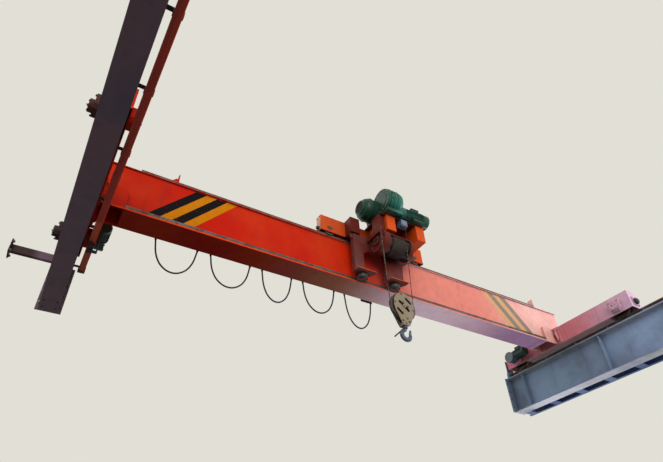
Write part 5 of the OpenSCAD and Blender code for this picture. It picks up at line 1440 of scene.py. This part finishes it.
class CRANE_OT_hook_block(bpy.types.Operator):
    """Forges the hook and adds the block's pins, keepers and bolts"""

    bl_idname = "crane.hook_block"
    bl_label = "Hook block"

    def execute(self, context):
        self.hook()
        bolts, plates = Shape(), Shape()
        x, y, z = sheave_at
        cheek, thick, lean = 0.042, 0.006, math.radians(-40)
        slant = Vector((math.cos(lean), 0, math.sin(lean)))
        up = Vector((-slant.z, 0, slant.x))
        nipple = [(0.0, 0.0), (0.008, 0.0), (0.008, 0.008), (0.004, 0.012), (0, 0.014)]
        for side in BOTH:
            out = side * Y
            face = y + side * cheek
            bolts.bolts((x - 0.048, x + 0.048), [face], [z - 0.208], out, 0.018, stud=0.005)
            for dx, dz in ((-0.023, 0.168), (-0.133, 0.030), (0.023, -0.168), (0.133, -0.030)):
                bolts.bolt((x + dx, face, z + dz), out, 0.016, stud=0.004)
            pin = Vector((x, face, z))
            corners = ((-0.052, 0.0225), (0.052, 0.0225), (0.052, 0.046), (-0.052, 0.046))
            plates.prism([pin + slant * u + up * v for u, v in corners], out * thick)
            for u in (-0.040, 0.040):
                bolts.bolt(pin + slant * u + up * 0.035 + out * thick, out, 0.013)
            plates.turned(nipple, (x, face + side * thick, z), out, 10)
        bolts.on("hook_block", "block_bolts", "fastener_zinc")
        plates.on("hook_block", "block_keepers", "block_paint", bevel=0.001)
        return {"FINISHED"}

    def hook(self):
        """The hook in one forging: the shank, the bowl with its thicker back and the point."""
        x, y, z = sheave_at
        middle, level = HOOK_BOWL + HOOK_THICK / 2, z - HOOK_DROP
        line = [(0, 0.084), (-0.003, 0.068), (-0.018, 0.056)]
        bowl = [math.radians(a) for a in range(135, 361, 15)]
        line += [(middle * math.cos(a), middle * math.sin(a)) for a in bowl]
        line += [(middle + 0.001, 0.025), (middle + 0.005, 0.048), (middle + 0.012, 0.068)]
        route = smooth_line([(x + u, y, level + v) for u, v in line], 3)
        shares = [i / (len(route) - 1) for i in range(len(route))]
        radii = [0.020 + 0.008 * min(1.0, t / 0.3) - 0.0158 * max(0.0, t - 0.7) / 0.3 for t in shares]
        shape = Shape()
        shape.swept(route, radii, 24, flat=0.85)
        tip = [(0.0118, -0.002), (0.0104, 0.001), (0.0066, 0.0028), (0, 0.0034)]
        shape.turned(tip, route[-1], (route[-1] - route[-2]).normalized(), 20)
        top = z - 0.200
        shape.turned([(0.020, level + 0.076), (0.020, top - 0.002), (0.018, top), (0, top)], (x, y, 0), Z, 28)
        nut = [(0, top - 0.016), (0.029, top - 0.016), (0.029, top - 0.003), (0.025, top), (0, top)]
        shape.turned(nut, (x, y, 0), Z, 6)
        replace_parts(shape.on("hook", "hook_forging", "hook_steel", crease=45), "hook")


class CRANE_OT_stage(bpy.types.Operator):
    """Builds the floor, the backdrop and the lights"""

    bl_idname = "crane.stage"
    bl_label = "Stage"

    def execute(self, context):
        stage = context.scene.crane_stage
        context.scene.view_settings.view_transform = "Standard"
        self.floor(stage.floor_z, 30.0)
        self.world(context.scene, stage)
        self.lamp("room_sun", "SUN", 1.3, (0, -8, 3), (3.6, 1.8, 1.0), 0.9)
        self.lamp("far_sun", "SUN", 0.5, (-4, 8, 6), (3.6, 1.8, 1.0), 1.0)
        self.lamp("side_light", "AREA", stage.side_light, (11.5, -2.6, 1.6), (6.4, 1.6, 0.7), 5.0)
        self.lamp("floor_light", "AREA", stage.floor_light, (8.6, 2.6, -3.2), (6.4, 1.8, 0.8), 2.5)
        return {"FINISHED"}

    def lamp(self, name, kind, power, at, aim, size):
        data = bpy.data.lights.new(name, kind)
        data.energy = power
        if kind == "SUN":
            data.angle = size
        else:
            data.shape, data.size, data.size_y = "RECTANGLE", size, size * 0.6
            data.color = srgb(232, 240, 255)
        lamp = bpy.data.objects.new(name, data)
        lamp.location = at
        lamp.rotation_euler = (Vector(at) - Vector(aim)).to_track_quat("Z", "Y").to_euler()
        bpy.context.scene.collection.objects.link(lamp)
        lamp.visible_camera = False

    def floor(self, z, half):
        """A wide floor."""
        shape = Shape()
        shape.faces([(-half, -half, z), (half, -half, z), (half, half, z), (-half, half, z)], [(0, 1, 2, 3)])
        shape.object("floor", "floor_paint")

    def world(self, scene, stage):
        """Even light from all round; the camera sees the backdrop's own colour."""
        scene.world = bpy.data.worlds.new("room")
        scene.world.use_nodes = True
        room = Nodes(scene.world.node_tree)
        light = room.tree.nodes["Background"]
        room.fill(light.inputs["Strength"], stage.room_light)
        room.fill(light.inputs["Color"], (1, 1, 1))
        rays = room.node("ShaderNodeLightPath", out=None).outputs
        camera, through, mirrored = (
            Signal(room, rays[name]) for name in ("Is Camera Ray", "Is Transmission Ray", "Is Glossy Ray")
        )
        backdrop = room.node("ShaderNodeBackground", {}, {"Color": stage.backdrop})
        ends = {0: camera.most(through).most(mirrored), 1: Signal(room, light.outputs[0]), 2: backdrop}
        seen = room.node("ShaderNodeMixShader", {}, ends)
        room.fill(room.tree.nodes["World Output"].inputs["Surface"], seen)


class CRANE_PT_panel(bpy.types.Panel):
    """Lists the steps that dress the crane"""

    bl_idname = "CRANE_PT_panel"
    bl_label = "Crane"
    bl_space_type = "VIEW_3D"
    bl_region_type = "UI"
    bl_category = "Crane"

    def draw(self, context):
        for step in STEPS:
            self.layout.operator(step.bl_idname)
        for name in GROUPS:
            group = getattr(context.scene, name)
            box = self.layout.box()
            for value in group.__annotations__:
                box.prop(group, value)


STEPS = (
    CRANE_OT_camera,
    CRANE_OT_cable_loops,
    CRANE_OT_hoist_ropes,
    CRANE_OT_finishes,
    CRANE_OT_runway_fittings,
    CRANE_OT_girder_fittings,
    CRANE_OT_truck_fittings,
    CRANE_OT_trolley_fittings,
    CRANE_OT_motor_fittings,
    CRANE_OT_hook_block,
    CRANE_OT_stage,
)
GROUPS = {"crane_colours": CraneColours, "crane_sizes": CraneSizes, "crane_stage": CraneStage}


def register():
    for group in (*GROUPS.values(), *STEPS, CRANE_PT_panel):
        bpy.utils.register_class(group)
    for name, group in GROUPS.items():
        setattr(bpy.types.Scene, name, PointerProperty(type=group))


def unregister():
    for name in GROUPS:
        delattr(bpy.types.Scene, name)
    for group in reversed((*GROUPS.values(), *STEPS, CRANE_PT_panel)):
        bpy.utils.unregister_class(group)


def main():
    register()
    for step in STEPS:
        family, name = step.bl_idname.split(".")
        getattr(getattr(bpy.ops, family), name)()


if __name__ == "__main__":
    main()
